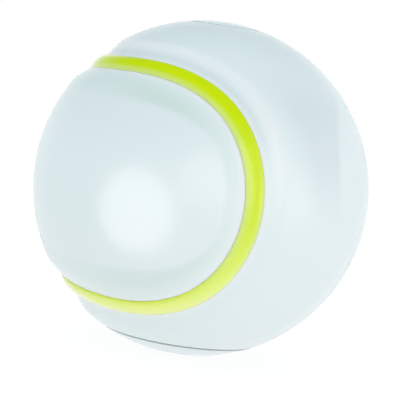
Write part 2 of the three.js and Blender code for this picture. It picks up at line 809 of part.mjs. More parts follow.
function roundedSlab({ x, y }, radius, bottom, top) {
  const shape = new THREE.Shape();
  const halfX = x / 2 - radius;
  const halfY = y / 2 - radius;
  shape.absarc(halfX, halfY, radius, 0, Math.PI / 2);
  shape.absarc(-halfX, halfY, radius, Math.PI / 2, Math.PI);
  shape.absarc(-halfX, -halfY, radius, Math.PI, 1.5 * Math.PI);
  shape.absarc(halfX, -halfY, radius, 1.5 * Math.PI, 2 * Math.PI);
  const options = { depth: top - bottom, bevelEnabled: false, curveSegments: 4 };
  return new THREE.ExtrudeGeometry(shape, options).translate(0, 0, bottom);
}

function cell() {
  return roundedSlab(cellSize, cellCorner, trayTop + clearance, cellTop);
}

function mainBoard() {
  return cut(
    roundedSlab(boardSize, boardCorner, boardBottom, boardTop),
    ...boardScrewSpots.map((s) => (
      rod(smallScrew.shank + clearance, boardBottom - wall, boardTop + wall, { ...s, sides: 10 })
    )),
  );
}

// The plate that shows when the cover is off: it turns in the port ring, and has the socket, button and lens.
function endPlate() {
  const through = [endPlateBottom - wall, endPlateTop + wall];
  const socketHole = { x: socketSize.x + 2 * clearance, y: socketSize.y + 2 * clearance };
  return cut(
    rod(endPlateRadius, endPlateBottom, endPlateTop, { sides: 40 }),
    roundedSlab(socketHole, socketHole.y / 2 - fit, ...through).translate(0, socketSpotY, 0),
    rod(buttonRadius + clearance, ...through, { y: buttonSpotY, sides: 24 }),
    rod(lensRadius + fit, ...through, { x: lensSpotX, sides: 16 }),
    ...footSpots.flatMap((s) => [
      rod(smallScrew.shank + clearance, ...through, { ...s, sides: 10 }),
      rod(smallScrew.head + clearance, through[0], endPlateBottom + smallScrew.height, { ...s, sides: 10 }),
    ]),
  );
}

const socketTop = boardBottom - fit;
const socketMouth = endPlateBottom + socketRecess;
const socketFloor = socketTop - socketBack;

function socketShell() {
  const inside = { x: socketSize.x - 2 * socketWall, y: socketSize.y - 2 * socketWall };
  return cut(
    roundedSlab(socketSize, socketSize.y / 2 - fit, socketMouth, socketTop),
    roundedSlab(inside, inside.y / 2 - fit, socketMouth - wall, socketFloor),
  );
}

function socketTongue() {
  const { x, y } = tongueSize;
  return block([-x / 2, -y / 2, socketMouth + socketRecess], [x / 2, y / 2, socketFloor - fit]);
}

const switchBottom = boardBottom - fit - switchHeight;
const buttonSeat = endPlateTop + clearance;

function tactSwitch() {
  const half = switchSize / 2;
  return cut(
    block([-half, -half, switchBottom], [half, half, boardBottom - fit]),
    rod(buttonStemRadius + clearance, switchBottom - wall, boardBottom - fit - switchRoof, { sides: 10 }),
  );
}

function powerButton() {
  return join(
    rod(buttonRadius, endPlateBottom - buttonProud, buttonSeat + fit, { sides: 24 }),
    rod(buttonFlangeRadius, buttonSeat, buttonSeat + buttonFlangeHeight, { sides: 24 }),
    rod(buttonStemRadius, buttonSeat + fit, buttonSeat + buttonFlangeHeight + buttonStemLength, { sides: 10 }),
  );
}

// A wire along a smooth path through a few points.
function lead(points) {
  const path = new THREE.CatmullRomCurve3(points.map((p) => new THREE.Vector3(...p)));
  const section = new THREE.Shape().absarc(0, 0, leadRadius, 0, 2 * Math.PI);
  const options = { steps: 8, curveSegments: 3, bevelEnabled: false, extrudePath: path };
  return new THREE.ExtrudeGeometry(section, options);
}

function motorLead(side) {
  const tab = motorBottom + terminalSize;
  const outside = cellSize.x / 2 + clearance + leadRadius + fit;
  const start = motorRadius + terminalReach + 2 * clearance;
  return lead([
    [side * start, motorSpot.y, tab], [side * (outside + fit), motorSpot.y, tab - leadBend],
    [side * outside, motorSpot.y, tab - leadDrop], [side * outside, motorSpot.y, boardTop + clearance],
  ]);
}

function cellLead(side) {
  const x = side * leadSpacing;
  const back = cellCentreY + cellSize.y / 2;
  const level = cellTop - cellSize.z / 2;
  const edge = boardSize.y / 2 - leadEdge;
  return lead([
    [x, back + clearance, level], [x, back + leadReach, level],
    [x, edge, level - leadReach], [x, edge, boardTop + clearance],
  ]);
}

// Assembly
const ball = new THREE.Group();
const driveUnit = new THREE.Group();
ball.add(driveUnit);

function place(group, name, geometry, material, { x = 0, y = 0, z = 0 } = {}) {
  const mesh = new THREE.Mesh(geometry, material);
  mesh.name = name;
  mesh.position.set(x, y, z);
  group.add(mesh);
}

function placeCopies(group, name, spots, z, make, material) {
  spots.forEach((spot, i) => place(group, `${name}_${i + 1}`, make(), material, { ...spot, z }));
}

place(ball, "shell_port_panel", portPanel(), milky);
place(ball, "shell_side_panel", panelBlank(-1), milky);
place(ball, "seam_bead", seamBead(), lime);
place(ball, "port_ring", portRing(), whitePlastic);
place(ball, "port_cover", portCover(), milky);
place(ball, "cover_gasket", coverGasket(), rubber);
place(ball, "pole_plug", polePlug(), milky);
const axleScrew = {
  shank: axleScrewRadius, length: axleScrewLength, head: axleScrewHeadRadius, height: axleScrewHeadHeight,
};
place(ball, "axle_screw", screw(axleScrew), steel, { z: skirtFloor + fit });
place(ball, "drive_axle", driveAxle(), steel);
place(ball, "axle_gear", axleGear(), acetal);
place(ball, "axle_gear_pin", crossPin(), steel, { z: crossPinLevel });
const washerBottom = bushTop + clearance;
place(ball, "thrust_washer",
  ring(axleRadius + clearance, washerRadius, washerBottom, washerBottom + washerThickness), bronze);

place(driveUnit, "chassis", chassis(), whitePlastic);
place(driveUnit, "upper_plate", upperPlate(), whitePlastic);
place(driveUnit, "upper_bush", upperBush(), bronze);
placeCopies(driveUnit, "gear_post", postSpots, platformTop + fit, gearPost, steel);
const frameScrew = {
  shank: frameScrewRadius, length: upperPlateTop - screwBossBottom - 2 * screwBossFloor,
  head: frameScrewHeadRadius, height: frameScrewHeadHeight,
};
placeCopies(driveUnit, "frame_screw", postSpots, upperPlateTop + fit, () => screw(frameScrew), steel);
place(driveUnit, "first_gear_pin",
  rod(gearPinRadius, platformBottom, secondLevel + wheelWidth, { sides: 10 }), steel);
place(driveUnit, "second_gear_pin",
  rod(gearPinRadius, platformBottom, upperPlateBottom + gearPinSeat, { sides: 10 }), steel, secondGearSpot);
place(driveUnit, "first_gear", firstGear(), acetal);
place(driveUnit, "second_gear", secondGear(), acetal, secondGearSpot);

place(driveUnit, "motor_can", motorCan(), steel, { ...motorSpot, z: motorBottom });
place(driveUnit, "motor_cap", motorCap(), blackPlastic, { ...motorSpot, z: motorBottom });
place(driveUnit, "motor_shaft",
  rod(motorShaftRadius, motorTop - motorShaftDepth + clearance, firstLevel + wheelWidth + fit, { sides: 10 }),
  steel, motorSpot);
place(driveUnit, "motor_pinion", motorPinion(), bronze, motorSpot);
placeCopies(driveUnit, "motor_screw", motorScrewSpots, platformTop + fit, () => screw(smallScrew), steel);
place(driveUnit, "counterweight", counterweight(), steel);
const weightScrew = {
  shank: weightScrewRadius, length: weightScrewLength,
  head: weightScrewHeadRadius, height: weightScrewHeadHeight,
};
placeCopies(driveUnit, "weight_screw", weightScrewSpots, platformTop + fit, () => screw(weightScrew), steel);

place(driveUnit, "battery_cell", cell(), foil, { y: cellCentreY });
place(driveUnit, "motor_lead_1", motorLead(1), redLead);
place(driveUnit, "motor_lead_2", motorLead(-1), blackLead);
place(driveUnit, "cell_lead_1", cellLead(1), redLead);
place(driveUnit, "cell_lead_2", cellLead(-1), blackLead);

place(driveUnit, "main_board", mainBoard(), boardGreen);
placeCopies(driveUnit, "board_screw", boardScrewSpots, boardBottom - fit,
  () => screw({ ...smallScrew, side: -1 }), steel);
const chipHalf = chipSize / 2;
place(driveUnit, "control_chip",
  block([-chipHalf, -chipHalf, -chipHeight], [chipHalf, chipHalf, 0]), blackPlastic,
  { x: chipSpotX, z: boardBottom - fit });
place(driveUnit, "roll_sensor",
  rod(sensorRadius, -sensorLength / 2, sensorLength / 2, { sides: 16 }).rotateY(Math.PI / 2), steel,
  { y: sensorSpotY, z: boardBottom - fit - sensorRadius });
const ledHalf = ledSize / 2;
const ledSpots = [1, -1].map((side) => ({ x: side * (ledHalf + ledGap / 2), y: ledSpotY }));
placeCopies(driveUnit, "led", ledSpots, boardBottom - fit,
  () => block([-ledHalf, -ledHalf, -ledHeight], [ledHalf, ledHalf, 0]), lensClear);
place(driveUnit, "socket_shell", socketShell(), steel, { y: socketSpotY });
place(driveUnit, "socket_tongue", socketTongue(), blackPlastic, { y: socketSpotY });
place(driveUnit, "tact_switch", tactSwitch(), blackPlastic, { y: buttonSpotY });
place(driveUnit, "power_button", powerButton(), lime, { y: buttonSpotY });
place(driveUnit, "status_lens",
  rod(lensRadius, endPlateBottom + fit, boardBottom - fit, { sides: 16 }), lensClear, { x: lensSpotX });
place(driveUnit, "end_plate", endPlate(), greyPlastic);
placeCopies(driveUnit, "end_plate_screw", footSpots, endPlateBottom + smallScrew.height - fit,
  () => screw({ ...smallScrew, side: -1 }), steel);

export default ball;
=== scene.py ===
"""Looks of the self-rolling pet ball: milky shell panels, a lime seam bead, the port end and the works.

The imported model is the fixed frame. The pieces that show are modelled again here with fine surfaces and ride
on the same bodies. Every other node keeps its shape and gets its finish. Units are metres.
"""

from __future__ import annotations

import json
import logging
import math
from collections.abc import Sequence
from dataclasses import dataclass, field
from enum import Enum, IntEnum
from functools import cached_property

import bmesh
import bpy
from mathutils import Matrix, Vector, kdtree

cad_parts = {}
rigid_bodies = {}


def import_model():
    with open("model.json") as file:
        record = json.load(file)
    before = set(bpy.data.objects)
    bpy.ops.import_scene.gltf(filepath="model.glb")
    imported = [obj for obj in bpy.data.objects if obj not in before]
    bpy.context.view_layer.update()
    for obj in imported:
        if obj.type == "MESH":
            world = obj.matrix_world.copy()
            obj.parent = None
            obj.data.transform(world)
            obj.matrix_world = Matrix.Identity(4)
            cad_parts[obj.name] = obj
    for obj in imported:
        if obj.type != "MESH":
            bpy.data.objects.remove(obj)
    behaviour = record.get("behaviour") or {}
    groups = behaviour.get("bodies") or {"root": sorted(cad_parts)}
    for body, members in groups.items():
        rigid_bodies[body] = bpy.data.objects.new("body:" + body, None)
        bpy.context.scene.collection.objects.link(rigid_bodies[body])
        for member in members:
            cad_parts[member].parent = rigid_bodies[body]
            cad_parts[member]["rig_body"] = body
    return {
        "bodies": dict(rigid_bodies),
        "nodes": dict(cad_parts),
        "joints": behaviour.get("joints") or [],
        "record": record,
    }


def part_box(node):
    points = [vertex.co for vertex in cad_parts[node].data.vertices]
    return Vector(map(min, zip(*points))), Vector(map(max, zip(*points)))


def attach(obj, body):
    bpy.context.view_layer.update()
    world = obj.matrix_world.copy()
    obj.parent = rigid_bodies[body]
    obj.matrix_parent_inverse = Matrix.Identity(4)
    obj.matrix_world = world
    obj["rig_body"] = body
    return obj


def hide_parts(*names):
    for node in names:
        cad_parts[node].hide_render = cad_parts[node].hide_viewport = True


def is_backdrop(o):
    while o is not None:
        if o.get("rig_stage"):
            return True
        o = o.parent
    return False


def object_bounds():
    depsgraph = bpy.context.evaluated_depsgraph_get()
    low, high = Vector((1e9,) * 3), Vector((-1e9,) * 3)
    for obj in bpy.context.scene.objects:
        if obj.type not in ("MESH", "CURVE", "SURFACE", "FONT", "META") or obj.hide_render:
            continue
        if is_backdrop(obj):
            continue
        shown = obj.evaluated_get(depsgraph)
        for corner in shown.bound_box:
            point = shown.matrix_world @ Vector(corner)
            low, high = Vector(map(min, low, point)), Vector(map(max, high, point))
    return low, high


Pair = tuple[float, float]
Triple = tuple[float, float, float]
Piece = bpy.types.Object
Socket = bpy.types.NodeSocket

LOG = logging.getLogger("pet_ball")
MM = 0.001
FULL_TURN = 2.0 * math.pi
WELD = 1e-7
ORDER_DIGITS = 8
EDGE_STEPS = 5
CORNER_STEPS = 6
SEAM_REACH = 20.0 * MM
RISING = (0.0, 1.0)
FALLING = (1.0, 0.0)


class Combine(Enum):
    """Ways to combine two closed pieces."""

    CUT = "DIFFERENCE"
    JOIN = "UNION"


class Side(Enum):
    """The two shell panels, by the sign of X at their middle."""

    PORT = 1
    FLANK = -1


class Faces(IntEnum):
    """Faces round a turned piece, named for a piece of that size."""

    SHANK = 20
    BAR = 32
    SCREW = 40
    AXLE = 48
    BOSS = 64
    PLUG = 96
    PLATE = 128
    PORT = 160


class Blend(Enum):
    """What a Mix node blends: its type and the numbers of its first, second and result sockets."""

    NUMBER = ("FLOAT", 2, 3, 0)
    COLOUR = ("RGBA", 6, 7, 2)


@dataclass(frozen=True)
class Point:
    """A point of a turned profile: its distance from the axle and its height."""

    across: float
    height: float


def arc(centre: Point, radius: float, start: float, end: float, steps: int) -> list[Point]:
    """Points along an arc of a profile.

    Args:
        centre: Middle of the arc.
        radius: Radius of the arc.
        start: First angle in degrees, from the outward direction towards up.
        end: Last angle in degrees.
        steps: Number of pieces the arc is split into.

    Returns:
        The points in order, both ends included.
    """
    angles = [math.radians(start + (end - start) * step / steps) for step in range(steps + 1)]
    return [
        Point(centre.across + radius * math.cos(angle), centre.height + radius * math.sin(angle))
        for angle in angles
    ]


def settle_order(shape: bmesh.types.BMesh) -> None:
    """Put vertices, edges and faces in an order that follows from their places, so that each run is alike.

    Args:
        shape: The bmesh to put in order.
    """
    placed = sorted(shape.verts, key=lambda vertex: [round(level, ORDER_DIGITS) for level in vertex.co])
    for number, vertex in enumerate(placed):
        vertex.index = number
    shape.verts.sort()
    for items in (shape.edges, shape.faces):
        ordered = sorted(items, key=lambda item: sorted(vertex.index for vertex in item.verts))
        for number, item in enumerate(ordered):
            item.index = number
        items.sort()


def finish_mesh(name: str, shape: bmesh.types.BMesh) -> Piece:
    """Turn a closed bmesh into a scene object at the origin.

    Args:
        name: Name of the new piece.
        shape: The bmesh, which is freed.

    Returns:
        The object, linked to the scene.
    """
    bmesh.ops.remove_doubles(shape, verts=shape.verts, dist=WELD)
    bmesh.ops.dissolve_degenerate(shape, dist=WELD, edges=shape.edges)
    bmesh.ops.recalc_face_normals(shape, faces=shape.faces)
    closed = all(edge.is_manifold for edge in shape.edges)
    if closed and shape.calc_volume(signed=True) < 0:
        bmesh.ops.reverse_faces(shape, faces=shape.faces)
    settle_order(shape)
    mesh = bpy.data.meshes.new(name)
    shape.to_mesh(mesh)
    shape.free()
    piece = bpy.data.objects.new(name, mesh)
    bpy.context.scene.collection.objects.link(piece)
    return piece


def shade(piece: Piece, crease: float = 32.0) -> None:
    """Smooth a piece's faces and keep its hard edges.

    Args:
        piece: The piece to shade.
        crease: Angle in degrees past which an edge stays sharp.
    """
    piece.data.polygons.foreach_set("use_smooth", [True] * len(piece.data.polygons))
    piece.data.set_sharp_from_angle(angle=math.radians(crease))
    piece.data.update()


def write_layer(piece: Piece, name: str, values: Sequence[float]) -> None:
    """Write one value for each vertex of a piece as an attribute."""
    piece.data.attributes.new(name, "FLOAT", "POINT").data.foreach_set("value", values)


def combine(piece: Piece, tools: Sequence[Piece], mode: Combine) -> None:
    """Cut tools from a piece or join them to it, and delete the tools.

    Args:
        piece: The piece that is changed.
        tools: Closed pieces to cut with or to join.
        mode: Whether to cut or to join.
    """
    for tool in tools:
        modifier = piece.modifiers.new(tool.name, "BOOLEAN")
        modifier.operation = mode.value
        modifier.solver = "EXACT"
        modifier.object = tool
    graph = bpy.context.evaluated_depsgraph_get()
    made = bpy.data.meshes.new_from_object(piece.evaluated_get(graph))
    piece.modifiers.clear()
    old = piece.data
    piece.data = made
    bpy.data.meshes.remove(old)
    made.name = piece.name
    for tool in tools:
        bpy.data.meshes.remove(tool.data)


def turned(name: str, profile: Sequence[Point], steps: int = Faces.PLUG, spot: Pair = (0.0, 0.0)) -> Piece:
    """A profile spun about an upright axis into a closed piece.

    Args:
        name: Name of the new piece.
        profile: Points in order; the outline closes on the axis or on itself.
        steps: Faces round the axis.
        spot: Where the axis is in X and Y.

    Returns:
        The new object.
    """
    shape = bmesh.new()
    corners = [shape.verts.new((spot[0] + point.across, spot[1], point.height)) for point in profile]
    edges = [shape.edges.new(pair) for pair in zip(corners, corners[1:])]
    if profile[0].across > 0 or profile[-1].across > 0:
        edges.append(shape.edges.new((corners[-1], corners[0])))
    bmesh.ops.spin(
        shape, geom=corners + edges, cent=(*spot, 0.0), axis=(0, 0, 1), angle=FULL_TURN, steps=steps,
        use_merge=True, use_normal_flip=False, use_duplicate=False,
    )
    return finish_mesh(name, shape)


def round_bar(radius: float, low: float, high: float, spot: Pair = (0.0, 0.0),
              steps: int = Faces.BAR) -> bmesh.types.BMesh:
    """A plain round bar along the axle's direction.

    Args:
        radius: Radius of the bar.
        low: Height of its lower end.
        high: Height of its upper end.
        spot: Where its middle is in X and Y.
        steps: Faces round it.

    Returns:
        A new bmesh.
    """
    shape = bmesh.new()
    place = Matrix.Translation((*spot, (low + high) / 2))
    bmesh.ops.create_cone(
        shape, cap_ends=True, segments=steps, radius1=radius, radius2=radius, depth=high - low, matrix=place,
    )
    return shape


def block(name: str, low: Vector, high: Vector, rounding: float = 0.0) -> Piece:
    """A box between two corners, with its upright edges rounded if a radius is given.

    Args:
        name: Name of the new piece.
        low: Lowest corner.
        high: Highest corner.
        rounding: Radius of the upright edges.

    Returns:
        The new object.
    """
    shape = bmesh.new()
    size = high - low
    place = Matrix.Translation((low + high) / 2) @ Matrix.Diagonal((*size, 1.0))
    bmesh.ops.create_cube(shape, size=1.0, matrix=place)
    if rounding > 0:
        upright = [e for e in shape.edges if abs((e.verts[0].co - e.verts[1].co).z) > size.z / 2]
        bmesh.ops.bevel(
            shape, geom=upright, offset=rounding, offset_type="OFFSET", segments=CORNER_STEPS, profile=0.5,
            affect="EDGES", material=-1,
        )
    return finish_mesh(name, shape)


@dataclass(frozen=True)
class Seam:
    """The wavy line on the ball where its two panels meet.

    It swings to both sides of the plane X = 0, twice each way round the X axis, and leans so that its lobes
    are nearly round. The drift moves the whole line along the ball, away from +X.
    """

    ball: float
    swing: float = math.radians(46.0)
    lean: float = math.radians(11.6)
    drift: float = 0.75 * MM
    steps: int = 264
    nudge: float = 1e-4

    def wave(self, turn: float) -> Vector:
        """The plain wave's direction from the ball's centre.

        Args:
            turn: Angle round the X axis.

        Returns:
            A direction of length 1.
        """
        swing = self.swing * math.cos(2 * turn)
        sweep = turn + self.lean * math.sin(4 * turn)
        flat = math.cos(swing)
        return Vector((math.sin(swing), flat * math.cos(sweep), flat * math.sin(sweep)))

    @cached_property
    def frames(self) -> list[tuple[Vector, Vector]]:
        """Directions at each step along the seam, worked out once.

        Returns:
            The direction outwards and the direction across the seam towards +X, for each step.
        """
        tilt = self.drift / self.ball
        made = []
        for step in range(self.steps):
            turn = FULL_TURN * step / self.steps
            out = self.wave(turn)
            along = (self.wave(turn + self.nudge) - self.wave(turn - self.nudge)).normalized()
            across = along.cross(out).normalized()
            if across.x < 0:
                across = -across
            drifted = out * math.cos(tilt) - across * math.sin(tilt)
            made.append((drifted, across * math.cos(tilt) + out * math.sin(tilt)))
        return made

    def row(self, side: Side, distance: float, radius: float) -> list[Vector]:
        """A ring of points beside the seam.

        Args:
            side: The panel that the ring lies on.
            distance: How far from the seam, along the ball's surface.
            radius: How far from the ball's centre.

        Returns:
            One point for each step along the seam.
        """
        angle = distance / self.ball
        return [
            (out * math.cos(angle) + across * (side.value * math.sin(angle))) * radius
            for out, across in self.frames
        ]

    def nearest(self, piece: Piece) -> list[tuple[int, float]]:
        """The seam's nearest step for each vertex of a piece.

        Args:
            piece: The piece whose vertices are looked at.

        Returns:
            The step's number and its distance on the ball, for each vertex.
        """
        tree = kdtree.KDTree(self.steps)
        for step, (out, _) in enumerate(self.frames):
            tree.insert(out * self.ball, step)
        tree.balance()
        found = [tree.find(vertex.co.normalized() * self.ball) for vertex in piece.data.vertices]
        return [(step, distance) for _, step, distance in found]

    def sides(self, piece: Piece) -> list[float]:
        """Each vertex's place across the seam.

        Args:
            piece: The piece whose vertices are looked at.

        Returns:
            The distance across the seam towards +X, for each vertex.
        """
        ways = [across for _, across in self.frames]
        steps = [step for step, _ in self.nearest(piece)]
        return [vertex.co.dot(ways[step]) for vertex, step in zip(piece.data.vertices, steps)]

    def mark(self, piece: Piece, layer_name: str, start: float, end: float) -> None:
        """Write an attribute that goes from 0 to 1 between two distances from the seam.

        Args:
            piece: The piece to mark.
            layer_name: Name of the attribute.
            start: Distance where it is 0.
            end: Distance where it is 1.
        """
        shares = [(distance - start) / (end - start) for _, distance in self.nearest(piece)]
        write_layer(piece, layer_name, [min(1.0, max(0.0, share)) for share in shares])


class RingGrower:
    """A closed ring of edges that is extruded row by row into a surface."""

    def __init__(self, shape: bmesh.types.BMesh, first: Sequence[Vector]) -> None:
        """Start with a circle whose corners are moved to the first row.

        Args:
            shape: The bmesh to grow in.
            first: Places of the first row's corners.
        """
        self.shape = shape
        made = bmesh.ops.create_circle(shape, cap_ends=False, segments=len(first), radius=1.0)
        self.corners: list[bmesh.types.BMVert] = made["verts"]
        self.place(first)
        self.edges = list(dict.fromkeys(edge for corner in self.corners for edge in corner.link_edges))
        self.start = (list(self.corners), list(self.edges))

    def place(self, row: Sequence[Vector]) -> None:
        """Move the ring's corners to the places of a row."""
        for corner, spot in zip(self.corners, row):
            corner.co = spot

    def restart(self) -> None:
        """Go back to the first ring, to grow from its other side."""
        self.corners, self.edges = list(self.start[0]), list(self.start[1])

    def grow(self, row: Sequence[Vector]) -> None:
        """Extrude the ring and move the new corners.

        Args:
            row: Places of the new corners.
        """
        made = bmesh.ops.extrude_edge_only(self.shape, edges=self.edges)["geom"]
        fresh = {item for item in made if isinstance(item, bmesh.types.BMVert)}
        self.corners = [
            next(e.other_vert(corner) for e in corner.link_edges if e.other_vert(corner) in fresh)
            for corner in self.corners
        ]
        self.edges = [
            item for item in made
            if isinstance(item, bmesh.types.BMEdge) and all(v in fresh for v in item.verts)
        ]
        self.place(row)

    def close_on(self, spot: Vector) -> None:
        """Draw the last ring together into one point."""
        bmesh.ops.pointmerge(self.shape, verts=self.corners, merge_co=spot)

    def close_on_start(self) -> None:
        """Bridge the last ring to the first."""
        bmesh.ops.bridge_loops(self.shape, edges=self.edges + self.start[1])


@dataclass
class Shell:
    """The two milky panels, the bead in the groove between them, and the sizes of that groove."""

    seam: Seam
    ball: float
    wall: float = 2.4 * MM
    split: float = 0.3 * MM
    bead: float = 2.05 * MM
    bead_sink: float = 0.55 * MM
    bead_play: float = 0.15 * MM
    bead_swell: float = 0.1 * MM
    cap_rise: float = 1.15 * MM
    cap_share: float = 0.85
    cap_overlap: float = 0.06 * MM
    lip: float = 0.1 * MM
    # Reach of the painted light on the lips, which lifts the shade of the crevice beside the bead.
    painted_lip_light: float = 1.5 * MM
    shoulder_drop: float = 1.05 * MM
    shoulder_reach: float = 8.0 * MM
    rib: float = 1.8 * MM
    groove_steps: int = 9
    lip_steps: int = 10
    shoulder_steps: int = 7
    fill_rows: int = 34
    fill_end: float = 1 - 1e-4
    bead_rows: int = 40

    @property
    def groove(self) -> float:
        """Radius of the groove's round floor."""
        return self.bead + self.bead_play

    @property
    def bead_centre(self) -> float:
        """Distance of the bead's middle from the ball's centre."""
        return self.ball - self.bead_sink - self.bead

    def outer_rows(self) -> list[Point]:
        """Rows across a panel's outside: groove, lip and shoulder.

        Returns:
            For each row its distance from the seam and from the ball's centre.
        """
        foot = -math.degrees(math.acos(self.split / 2 / self.groove))
        rows = arc(Point(0.0, self.bead_centre), self.groove, foot, 0.0, self.groove_steps)
        lip_centre = Point(self.groove + self.lip, self.ball - self.shoulder_drop - self.lip)
        rows += arc(lip_centre, self.lip, 180.0, 90.0, self.lip_steps)
        for step in range(1, self.shoulder_steps + 1):
            share = step / self.shoulder_steps
            rise = share * share * (3 - 2 * share)
            across = lip_centre.across + (self.shoulder_reach - lip_centre.across) * share
            rows.append(Point(across, self.ball - self.shoulder_drop * (1 - rise)))
        return rows

    def inner_rows(self) -> list[Point]:
        """Rows across a panel's inside: the rib behind the groove and its slope down to the plain wall.

        Returns:
            For each row its distance from the seam and from the ball's centre.
        """
        floor = self.bead_centre - self.groove - self.rib
        return [
            Point(self.split / 2, floor),
            Point(self.groove + self.rib / 2, floor + self.rib / 2),
            Point(self.groove + 2 * self.rib, self.ball - self.wall),
        ]

    def fill(self, grower: RingGrower, side: Side, radius: float, rows: int) -> None:
        """Carry a ring over the plain sphere to the panel's middle and close it there.

        Args:
            grower: The ring, lying on the sphere.
            side: The panel whose middle it closes on.
            radius: Radius of the sphere.
            rows: Number of rows up to the middle.
        """
        middle = Vector((side.value, 0.0, 0.0))
        starts = [corner.co.normalized() for corner in grower.corners]
        for row in range(1, rows + 1):
            share = min(row / rows, self.fill_end)
            grower.grow([start.slerp(middle, share) * radius for start in starts])
        grower.close_on(middle * radius)

    def panel(self, name: str, side: Side) -> Piece:
        """One panel as a closed shell with its half of the groove.

        Args:
            name: Name of the new piece.
            side: Which panel.

        Returns:
            The new object, with no holes in it.
        """
        shape = bmesh.new()
        outer = self.outer_rows()
        grower = RingGrower(shape, self.seam.row(side, outer[0].across, outer[0].height))
        for row in outer[1:]:
            grower.grow(self.seam.row(side, row.across, row.height))
        self.fill(grower, side, self.ball, self.fill_rows)
        grower.restart()
        for row in self.inner_rows():
            grower.grow(self.seam.row(side, row.across, row.height))
        self.fill(grower, side, self.ball - self.wall, self.fill_rows // 2)
        return finish_mesh(name, shape)

    def bead_section(self, angle: float) -> Point:
        """A place on the bead's section: round below, upright in the groove, and a low cap up to the lips.

        Args:
            angle: Angle from the direction outwards.

        Returns:
            The distance across the seam and the distance from the ball's centre.
        """
        tall = self.bead + self.bead_swell
        turn = (angle + math.pi) % FULL_TURN - math.pi
        share = abs(turn) / (math.pi / 2)
        if share >= 1:
            return Point(tall * math.sin(turn), self.bead_centre + tall * math.cos(turn))
        mouth = self.ball - self.shoulder_drop
        cap_middle = self.bead_centre + tall - self.cap_rise
        cap_turn = math.acos((mouth - cap_middle) / self.cap_rise)
        edge = self.groove + self.cap_overlap
        if share <= self.cap_share:
            lean = cap_turn * share / self.cap_share
            across = edge * math.sin(lean) / math.sin(cap_turn)
            return Point(math.copysign(across, turn), cap_middle + self.cap_rise * math.cos(lean))
        down = (share - self.cap_share) / (1 - self.cap_share)
        across = edge + (tall - edge) * down
        return Point(math.copysign(across, turn), mouth + (self.bead_centre - mouth) * down)

    def bead_row(self, step: int) -> list[Vector]:
        """A ring of points along the whole bead.

        Args:
            step: Which of the rows round the bead's section.

        Returns:
            One point for each step along the seam.
        """
        spot = self.bead_section(FULL_TURN * step / self.bead_rows)
        return [out * spot.height + across * spot.across for out, across in self.seam.frames]

    def bead_ring(self) -> Piece:
        """The elastomer bead, pressed into the groove and swollen against its lips.

        Returns:
            The new object, marked with its underside and with the place across it.
        """
        shape = bmesh.new()
        grower = RingGrower(shape, self.bead_row(0))
        for step in range(1, self.bead_rows):
            grower.grow(self.bead_row(step))
        grower.close_on_start()
        piece = finish_mesh("seam_bead_moulding", shape)
        # The underside carries the bead's painted light below, and the place across carries its painted edge
        # highlights.
        write_layer(piece, "underside", [0.5 - normal.vector.z / 2 for normal in piece.data.vertex_normals])
        write_layer(piece, "bead_side", [0.5 + side / self.groove / 2 for side in self.seam.sides(piece)])
        return piece

    def build(self, dresser: Dresser, pole: TopPole, port: PortEnd) -> None:
        """Model both panels and the bead, and dress them.

        Args:
            dresser: Gives each piece its body, slot and material.
            pole: What the port panel has at the top pole.
            port: What it has at the bottom pole.
        """
        side_panel = self.panel("side_panel_moulding", Side.FLANK)
        self.seam.mark(side_panel, "seam_distance", 0.0, SEAM_REACH)
        port_panel = self.panel("port_panel_moulding", Side.PORT)
        combine(port_panel, [pole.boss_blank(), port.collar_blank()], Combine.JOIN)
        combine(port_panel, [pole.recess_cutter(), port.hole_cutter(), *pole.socket_cutters()], Combine.CUT)
        self.seam.mark(port_panel, "port_distance", 0.0, SEAM_REACH)
        # Painted light on the lips, fading out away from the groove.
        for panel in (side_panel, port_panel):
            self.seam.mark(panel, "painted_lip_light", self.groove + self.painted_lip_light, self.groove)
        dresser.stand_for(side_panel, "shell_side_panel")
        dresser.stand_for(port_panel, "shell_port_panel")
        dresser.stand_for(self.bead_ring(), "seam_bead")


